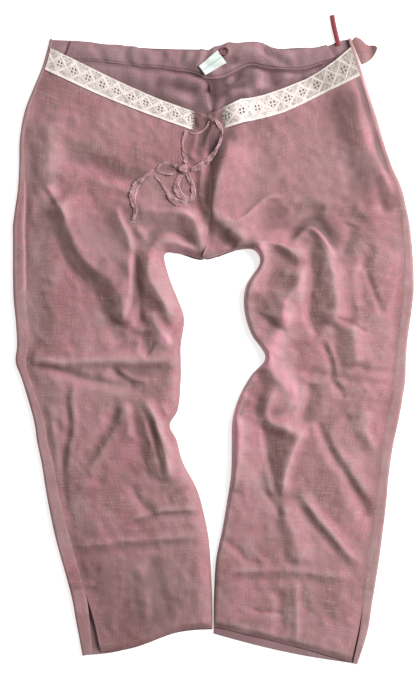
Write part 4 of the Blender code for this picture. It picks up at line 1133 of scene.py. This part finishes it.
def addCasing():
    # the casing as one band over both backs, from the waist's edge down to its stitching
    low, high = gather["reach"]
    reach = np.linspace(low, high, gather["columns"] + 1)
    down = np.linspace(0, 1, gather["rows"])[:, None]
    tops, feet = [], []
    for legName, chosen in (("right", reach < 0), ("left", reach >= 0)):
        leg = legs[legName]
        share = np.abs(reach[chosen])
        tops.append(backFlat(leg["rows"], leg["side"], share, np.zeros(len(share), int)))
        feet.append(backFlat(leg["rows"], leg["side"], share, np.full(len(share), leg["marks"]["lace foot"])))
    top, foot = np.concatenate(tops), np.concatenate(feet)
    foot[:, 1] = casingEnd(foot[:, 0])
    x = top[:, 0]
    wave = gatherWave(x)
    top[:, 1] += gather["edgeWave"] * (wave - 0.5 + np.sin(37 * x + 1)) + 0.001 * np.sin(90 * x)
    place = blend(top[None], foot[None], down[..., None])
    hidden = smoothStep((0.2 - np.abs(x)) / 0.03)[None]
    lean = gatherWave(x[None] + 0.004 * np.sin(3 * down + 40 * x[None]))
    puff = np.sin(math.pi * np.clip(down * 0.97 + 0.015, 0, 1)) ** 0.6
    height = gather["lift"] + gather["puff"] * puff + gather["height"] * lean * puff * hidden
    height += gather["fine"] * unevenness(place, gather["fineSize"], 21)
    height += gather["broad"] * unevenness(place, gather["broadSize"], 22) * puff
    height += creaseHeights(place, casingFolds)
    stitch = smoothStep(1 - np.abs(down - gather["stitchPlace"]) / gather["stitchWide"])
    height = np.maximum(height - gather["stitchDeep"] * stitch, gather["lowest"])
    grid, grain = raised(place, height), paired(x[None], -gather["casing"] * down)
    # paler on crests, painted shade in the troughs, and darker along the stitching, more so right of centre, as painted
    # shade in its groove
    wearAndPaintedLight = creaseWearAndShade(height, 4, 0.0009) - (0.9 + 0.8 * (place[..., 0] > 0.05)) * stitch
    piece = sheetObject("waistCasing", grid, grain, linenInside, panel["wall"], True,
                        {"wearAndPaintedLight": wearAndPaintedLight + lightAndShadeAt(grid, casingShade), "lean": facingKeyLight(grid)})
    standsFor(piece, "linen", "waist_casing")


addCasing()
print("casing made")

# Crochet lace along the front waist

lace = {"start": 0.09, "cell": 0.00056, "lift": 0.0007, "thick": 0.0007, "height": 0.035, "repeat": 0.023,
        "bar": 0.0008, "dot": 0.00145, "dotPlace": 0.0025, "endDot": 0.0006, "endPlace": 0.0066, "net": 0.002875,
        "netThread": 0.00052, "edge": 0.0036, "eyeletGap": 0.0036, "eyeletPlace": 0.0024, "eyelet": 0.0007,
        "uneven": 0.00022, "grey": 1.9, "shortBy": 1.35, "samples": 400}


def sampled(values, row, column):
    # a grid's value between its points
    i = np.clip(np.floor(row).astype(int), 0, values.shape[0] - 2)
    j = np.clip(np.floor(column).astype(int), 0, values.shape[1] - 2)
    down, across = (row - i)[..., None], (column - j)[..., None]
    above, below = (blend(values[k, j], values[k, j + 1], across) for k in (i, i + 1))
    return blend(above, below, down)


def lacePattern(x, y):
    # above zero where there is thread; x runs along the band and y across it, from -half to half its height
    def fromWhole(share):
        return np.abs(share - np.round(share))

    def fromDiagonals(gap):
        return np.minimum(fromWhole((x + y) / gap), fromWhole((x - y) / gap)) * gap / math.sqrt(2)

    half, repeat, up = lace["height"] / 2, lace["repeat"], np.abs(y)
    bars = lace["bar"] - fromDiagonals(repeat)
    net = lace["netThread"] - fromDiagonals(lace["net"])
    border = up - (half - lace["edge"])
    middleX = fromWhole(x / repeat + 0.5) * repeat
    dots = np.hypot(middleX - lace["dotPlace"], up - lace["dotPlace"]) - lace["dot"]
    ends = np.hypot(np.maximum(middleX, up) - lace["endPlace"], np.minimum(middleX, up)) - lace["endDot"]
    field = np.where(repeat / 2 - middleX - up > 0, np.minimum(dots, ends), net)
    fromEyelet = fromWhole(x / lace["eyeletGap"]) * lace["eyeletGap"]
    rim = np.hypot(fromEyelet, up - (half - lace["eyeletPlace"])) - lace["eyelet"]
    field = np.maximum(field, np.maximum(bars, np.minimum(border, rim)))
    return field + lace["uneven"] * unevenness(paired(x, y), 0.0017, 41), np.maximum(bars, border)


def addLace(legName):
    # a band of lace laid on one front's waist, cut out of a fine grid along the threads of its pattern
    leg = legs[legName]
    rows, grid, share = leg["marks"]["lace foot"], leg["grid"], leg["share"]
    startColumn = np.interp(lace["start"], share, np.arange(len(share)))
    columnsHere = np.linspace(startColumn, len(share) - lace["shortBy"], lace["samples"])
    travelled = lengthsAlong(sampled(grid, np.full(lace["samples"], rows / 2), columnsHere))
    across = np.linspace(0, 1, round(lace["height"] / lace["cell"]) + 1)
    along = np.arange(0, travelled[-1], lace["cell"])
    column = np.interp(along, travelled, columnsHere)
    place = sampled(grid, *np.broadcast_arrays(across[:, None] * rows, column[None]))
    x, y = np.broadcast_arrays(along[None] + 0.004, (0.5 - across[:, None]) * lace["height"])
    # thread edges are moved on to the pattern's own line, so no cell shows as a step
    field, dense = lacePattern(x, y)
    slopeX = (lacePattern(x + 0.0001, y)[0] - lacePattern(x - 0.0001, y)[0]) / 0.0002
    slopeY = (lacePattern(x, y + 0.0001)[0] - lacePattern(x, y - 0.0001)[0]) / 0.0002
    steep = slopeX**2 + slopeY**2 + 0.2
    shiftX, shiftY = (np.clip(-field * slope / steep, -0.45 * lace["cell"], 0.45 * lace["cell"])
                      for slope in (slopeX, slopeY))
    nearLine = np.abs(field) < 0.6 * lace["cell"]
    alongWay = np.gradient(place, axis=1) / lace["cell"]
    acrossWay = -np.gradient(place, axis=0) / (lace["height"] / (len(across) - 1))
    place = place + np.where(nearLine[..., None], shiftX[..., None] * alongWay + shiftY[..., None] * acrossWay, 0)
    middle = (field[:-1, :-1] + field[1:, :-1] + field[1:, 1:] + field[:-1, 1:]) / 4
    kept = middle > -0.00006
    # the band ends ragged beside the drawstring
    ragged = 0.0035 * (1 + np.sin(along[0] + 900 * across)) + 0.002 * np.sin(2300 * across)
    kept &= (along[None, :-1] > ragged[:-1, None])
    place = place + outOf(place) * lace["lift"]
    place[..., 2] += 0.0004 * np.clip(field / 0.0006, 0, 1)
    # painted shade on the net between the solid bars
    shade = 1 - smoothStep(dense / 0.0008 + 0.5)
    if legName == "left":
        # the end by the drawstring is folded up and stands a little off the cloth, with painted shade on it and a paler
        # painted patch just past it; the far end is greyed with painted shade
        place[..., 2] += 0.004 * smoothStep(along / 0.02) * (1 - smoothStep((along - 0.02) / 0.03))
        shade += lace["grey"] * smoothStep((along - 0.115) / 0.05) * (0.78 + 0.22 * shade)
        shade += 0.9 * (1 - smoothStep(along / 0.026)) - 0.7 * bell((along - 0.052) / 0.02)
    piece = sheetObject(f"{legName}Lace", place, paired(x, y), crochet, lace["thick"], True, {"shade": shade}, kept)
    standsFor(piece, "lace", f"lace_{legName}")
    print(f"{legName} lace made, {int(kept.sum())} cells")
    return piece


laces = {name: addLace(name) for name in legs}

# What is sewn to the waist

label = {"width": 0.0225, "narrow": 0.0165, "length": 0.0355, "thick": 0.0005, "place": (-0.0007, 0.4018),
         "turn": math.radians(35.5), "height": 0.0076, "band": 0.0028}
ring = {"place": (0.017, 0.42), "radius": 0.0053, "wire": 0.0014, "height": 0.0072}
ribbon = {"width": 0.007, "root": (0.184, 0.429), "end": (0.175, 0.473), "rootHeight": 0.0023, "endHeight": 0.0009,
          "layer": 0.0013, "thick": 0.0005}
tab = {"outline": ((0.2036, 0.4352), (0.207, 0.4405), (0.211, 0.441), (0.217, 0.438), (0.226, 0.430), (0.235, 0.429),
                   (0.2405, 0.425), (0.235, 0.413), (0.228, 0.406), (0.220, 0.402), (0.2164, 0.404)),
       "centre": (0.2195, 0.4205), "fold": 0.229, "rings": 9, "thick": 0.0009}


def labelFinish():
    # woven polyester satin, white and bare but for a plain woven band
    made, tree, shader = newMaterial("woven satin label", 0.5)
    grain = grainOf(tree)
    threads = stretchedNoise(tree, grain, 0.012, 0.0009, 1.0)
    tone = mottled(tree, threads, "#C3CAC6", "#D6DCD9")
    across = addNode(tree, "SeparateXYZ", {0: grain}).outputs[1]
    away = addNode(tree, "Math", {0: across}, operation="ABSOLUTE").outputs[0]
    band = ranged(tree, away, label["band"] / 2 - 0.0006, label["band"] / 2 + 0.0006, 0.6, 0)
    dress(tree, shader, mixed(tree, band, tone, "#93B3A9"))
    return made


def addLabel():
    # a soft folded label that curls a little at its free corners
    u = np.linspace(-0.5, 0.5, 35)[None]
    v = np.linspace(-0.5, 0.5, 23)[:, None]
    y = v * blend(label["narrow"], label["width"], u + 0.5)
    x = np.broadcast_to(u * label["length"], y.shape)
    curl = 0.0022 * np.clip(-u - 0.15, 0, 1) ** 1.5 * 2.4 + 0.0012 * np.clip(v - 0.1, 0, 1) * np.clip(u + 0.2, 0, 1) * 2
    height = label["height"] + curl + 0.0004 * np.sin(9 * u + 3 * v) + 0.0002 * unevenness(paired(x, y), 0.007, 31)
    cosine, sine = math.cos(label["turn"]), math.sin(label["turn"])
    placeX = label["place"][0] + x * cosine - y * sine
    placeY = label["place"][1] + x * sine + y * cosine
    piece = sheetObject("careLabel", paired(placeX, placeY, height), paired(x, y), labelFinish(), label["thick"], True)
    standsFor(piece, "label", "care_label")


def addRing():
    # a loop of braided cord that the label hangs by
    turns = np.linspace(0, math.tau, 48, endpoint=False)
    wobble = ring["radius"] * (1 + 0.06 * np.sin(2 * turns + 0.7))
    path = paired(ring["place"][0] + wobble * np.cos(turns), ring["place"][1] + wobble * np.sin(turns),
                  ring["height"] + 0.0004 * np.sin(2 * turns))

    def ringOf(i):
        out = np.array([math.cos(turns[i]), math.sin(turns[i]), 0])
        sides = np.linspace(0, math.tau, 14, endpoint=False)
        swell = ring["wire"] * (1 + 0.1 * np.sin(3 * sides + 9 * turns[i]))
        return path[i] + swell[:, None] * (np.cos(sides)[:, None] * out + np.sin(sides)[:, None] * np.array([0, 0, 1]))

    piece = tube("labelLoop", path, braid, ringOf, closed=True)
    standsFor(piece, "loop", "label_loop")


def addRibbon():
    # a hanging loop of satin ribbon, laid flat with one layer on the other
    root, end = np.array(ribbon["root"]), np.array(ribbon["end"])
    along = unit(end - root)
    across = np.array([-along[1], along[0]])
    length = np.linalg.norm(end - root)
    part = np.arange(41) / 40
    height = blend(ribbon["rootHeight"], ribbon["endHeight"], smoothStep((part - 0.28) / 0.5))
    place = root + along * (length * part)[:, None] + across * (0.0009 * np.sin(2.6 * part))[:, None]
    low = raised(place, height + 0.0003 * np.sin(7 * part))
    high = raised(place, height + ribbon["layer"] + 0.0008 * np.sin(3.1 * part))
    tip = (low[-1:] + high[-1:]) / 2 + [*(along * 0.0006), 0]
    path = np.vstack([low, tip, high[::-1]])
    widths = np.linspace(-0.5, 0.5, 7) * ribbon["width"]
    grid = path[:, None] + widths[None, :, None] * np.array([*across, 0])
    grid[..., 2] += 0.0004 * (1 - (2 * widths / ribbon["width"]) ** 2)[None]
    grain = paired(widths[None], lengthsAlong(path)[:, None])
    piece = sheetObject("ribbonLoop", grid, grain, ribbonSatin, ribbon["thick"], False, outward=True)
    standsFor(piece, "ribbon", "ribbon_loop")


def addTab():
    # the loose tab beside the left side, soft and turned over at its tip: rings of points round its centre
    outline = smoothPath(tab["outline"] + tab["outline"][:1], 4)[:-1]
    share = np.arange(tab["rings"] + 1)[:, None] / tab["rings"]
    place = blend(np.array(tab["centre"]), outline, share[..., None])
    x, y = place[..., 0], place[..., 1]
    rise = 0.0011 + 0.0012 * np.sin(210 * x + 90 * y) * (1 - share * 0.3)
    turned = 0.0012 * smoothStep((x - tab["fold"]) / 0.008)
    points = raised(place, np.maximum(rise, 0.0002) + tab["thick"] + turned)
    # all the points of the innermost ring are one
    around = len(outline)
    index = np.maximum(np.arange(x.size).reshape(x.shape) - (around - 1), 0)
    points = points.reshape(-1, 3)[around - 1:]
    mesh = newMesh("sideTab", points.tolist(), [tuple(dict.fromkeys(face)) for face in ringFaces(index)], linen)
    setGrain(mesh, points[:, :2])
    paint(mesh, "wearAndPaintedLight", -0.2 - 1.6 * smoothStep((points[:, 0] - tab["fold"]) / 0.006))
    mesh.shade_smooth()
    piece = placed("sideTab", mesh)
    addWall(piece, tab["thick"])
    standsFor(piece, "linen", "side_tab")


addLabel()
addRing()
addRibbon()
addTab()
print("waist trimmings made")

# The drawstring, tied in a bow

tape = {"wide": 0.006, "cord": 0.0025, "thick": 0.0005, "gap": 0.0015, "lift": 0.0002, "uneven": 0.16,
        "cup": 0.14, "ripple": 0.00035, "frayed": 22, "frayLength": 0.008, "fray": 0.00016}
# each tape's CAD node, how far it twists, where its turns start, and its route on the cloth with its width, in mm
tapeRoutes = {
    "drawstringRight": ("drawstring_right", 0.4, 0.3, (-38, 303, 4), (-42, 292, 3.6), (-44, 281, 3), (-42, 270, 3.6),
        (-39, 262, 5), (-41, 256.5, 5)),
    "drawstringLeft": ("drawstring_left", 0.6, 1.4, (4, 318, 4.5), (11, 309, 6), (13, 294, 4), (6, 276, 4.8),
        (-8, 259, 8.5), (-21, 250, 7.5), (-32, 246.5, 5)),
    "bowLoopRight": ("bow_loop_right", 0.45, 0, (-52.5, 251.5, 4.5), (-62, 256, 4), (-75, 254, 3.2), (-81, 248, 3.6),
        (-75, 242.5, 3), (-62, 240.5, 4.2), (-52.5, 244, 5)),
    "bowLoopLeft": ("bow_loop_left", 0.2, 2.2, (-44.5, 238.5, 5), (-50.5, 231, 7.2), (-52.5, 222, 9.2),
        (-49, 212.5, 9.4), (-41, 205.5, 8), (-32, 204, 6), (-27.5, 210.5, 6.2), (-28.5, 221.5, 6.8),
        (-32.5, 231, 5.8), (-36.5, 240.5, 4.8)),
    "bowTailRight": ("bow_tail_right", 0.3, 0.9, (-87, 246.5, 3), (-94, 240, 4), (-101, 235, 5), (-108, 228, 8.5),
        (-113, 220, 9.7), (-116, 208, 9.5), (-115, 198, 7), (-112, 190, 6.2), (-113, 181, 5), (-115, 173, 4.2)),
    "bowTailLeft": ("bow_tail_left", 0.3, 3, (-84, 238, 2.8), (-79, 231, 2.8), (-72, 223, 3), (-65, 213, 4.2),
        (-60, 204, 6.8), (-50, 198.5, 9.5), (-38, 197, 5.5)),
    "waistCord": ("waist_cord", 0.2, 0, (-32.5, 300.5, 2.2), (-28, 299, 2), (-20, 300, 2.2), (-14, 304, 2),
        (-8, 310, 2.4), (-5, 317, 2)),
}


def surfacesUnder(objects):
    # the finished surfaces of some pieces, to lay a tape on
    graph = bpy.context.evaluated_depsgraph_get()
    return [BVHTree.FromObject(made, graph) for made in objects]


def clothBelow(surfaces, x, y, reach):
    # the highest cloth at a place and just beside it
    highest = 0.0
    for dx, dy in ((0, 0), (reach, 0), (-reach, 0), (0, reach), (0, -reach)):
        for surface in surfaces:
            hit, _, _, _ = surface.ray_cast(Vector((x + dx, y + dy, 0.2)), Vector((0, 0, -1)))
            if hit:
                highest = max(highest, hit.z)
    return highest


def addTape(name, node, twist, phase, route, surfaces):
    # a flat tape that turns on edge and back as it runs, with pale frayed threads along both edges
    path = evenPath(route, tape["gap"])
    width = path[:, 2] * (1 + tape["uneven"] * np.sin(np.arange(len(path)) * 1.9 + phase))
    path = path[:, :2]
    floor = np.array([clothBelow(surfaces, x, y, wide * 0.4) for (x, y), wide in zip(path, width)])
    for _ in range(4):
        eased = np.convolve(np.pad(floor, 1, mode="edge"), (0.25, 0.5, 0.25), "valid")
        floor = np.maximum(floor, eased)
    travelled = lengthsAlong(path)
    angle = twist * np.sin(travelled * 150 + phase) + 0.25 * np.sin(travelled * 390 + 2 * phase)
    angle *= np.minimum(1, tape["wide"] / width)
    height = floor + tape["lift"] + tape["thick"] + np.abs(np.sin(angle)) * width / 2
    centre = raised(path, height)
    way, aside, above = waysAlong(centre)
    spread = np.linspace(-0.5, 0.5, 9)
    cup = tape["cup"] * np.minimum(width, tape["wide"]) * np.sin(travelled * 210 + phase)

    def ringOf(i):
        flat = aside[i] * math.cos(angle[i]) + above[i] * math.sin(angle[i])
        out = above[i] * math.cos(angle[i]) - aside[i] * math.sin(angle[i])
        ripple = tape["ripple"] * np.sin(spread * 14 + i * 0.9) * min(1, width[i] / tape["wide"])
        upper = [centre[i] + flat * width[i] * part + out * (cup[i] * (4 * part**2 - 0.4) + lift + tape["thick"] / 2)
                 for part, lift in zip(spread, ripple)]
        lower = [point - out * tape["thick"] for point in upper[::-1]]
        return upper + lower

    marks = np.concatenate([np.abs(spread * 2) ** 2.6, np.abs(spread[::-1] * 2) ** 2.6])
    piece = tube(name, centre, tapeCloth, ringOf, edgeMarks=marks)
    standsFor(piece, "drawstring", node)
    return piece, centre, way[-1], width[-1]


def addFray(name, end, way, width, surfaces, seed):
    # the loose threads at a tape's raw end, lying on the cloth
    chance = random.Random(seed)
    points, faces = [], []
    aside = np.cross(way, (0, 0, 1.0))
    for k in range(tape["frayed"]):
        share = k / (tape["frayed"] - 1) - 0.5
        start = end + aside * width * share
        turn = chance.uniform(-0.5, 0.5) + 1.1 * share
        bend = chance.uniform(-60, 60)
        length = tape["frayLength"] * chance.uniform(0.35, 1)
        heading = math.atan2(way[1], way[0]) - turn
        place, before = start.copy(), len(points)
        for step in range(6):
            heading += bend * length / 5
            if step:
                place = place + np.array([math.cos(heading), math.sin(heading), 0]) * length / 5
                below = clothBelow(surfaces, place[0], place[1], 0.0005)
                place[2] = max(below + 0.0003, place[2] - 0.0008)
            for corner in range(3):
                spin = math.tau * corner / 3
                thin = tape["fray"] * (1 - 0.1 * step)
                points.append(place + thin * np.array([-math.sin(heading) * math.cos(spin),
                                                       math.cos(heading) * math.cos(spin), math.sin(spin)]))
        faces += ringFaces(before + np.arange(18).reshape(6, 3))
    piece = placed(name, newMesh(name, [tuple(point) for point in points], faces, looseThread))
    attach(piece, "root")
    return piece


underBow = surfacesUnder([leg["front"] for leg in legs.values()] + list(laces.values()))


knot = {"place": (-0.0425, 0.2475), "turns": 2, "steps": 90, "corners": 12, "wide": 0.0048, "thick": 0.0032}


def addKnot():
    # the bow's knot: the tape wrapped twice round itself
    x, y = knot["place"]
    rest = clothBelow(underBow, x, y, 0.006)
    turns = np.linspace(0, knot["turns"] * math.tau, knot["steps"])
    sides = np.linspace(0, math.tau, knot["corners"], endpoint=False)
    path = paired(x + 0.003 * np.cos(turns) + 0.0022 * np.cos(2.5 * turns),
                  y + 0.0022 * np.sin(turns) - 0.0016 * np.sin(1.5 * turns),
                  rest + 0.0034 + 0.0012 * np.sin(1.5 * turns + 0.6))
    _, aside, above = waysAlong(path)

    def ringOf(i):
        return [path[i] + (aside[i] * knot["wide"] * math.cos(turn) + above[i] * knot["thick"] * math.sin(turn)) / 2
                for turn in sides]

    marks = np.abs(np.cos(np.linspace(0, math.tau, knot["corners"]))) ** 4
    piece = tube("bowKnot", path, tapeCloth, ringOf, edgeMarks=marks)
    standsFor(piece, "drawstring", "bow_knot")
    return piece


def addDrawstring():
    # the knot with every stretch of tape that comes from it, and the thin cord above it
    knotPiece = addKnot()
    for number, (name, (node, twist, phase, *route)) in enumerate(tapeRoutes.items()):
        piece, centre, way, width = addTape(name, node, twist, phase, np.array(route) / 1000, underBow)
        parts = [knotPiece] if name == "drawstringLeft" else []
        if "Tail" in name:
            parts.append(addFray(name + "Fray", centre[-1], way, width, underBow, number))
        tuple(centre[0])
        float(lengthsAlong(centre)[-1])
        [tuple(point) for point in centre]


addDrawstring()
print("drawstring made")
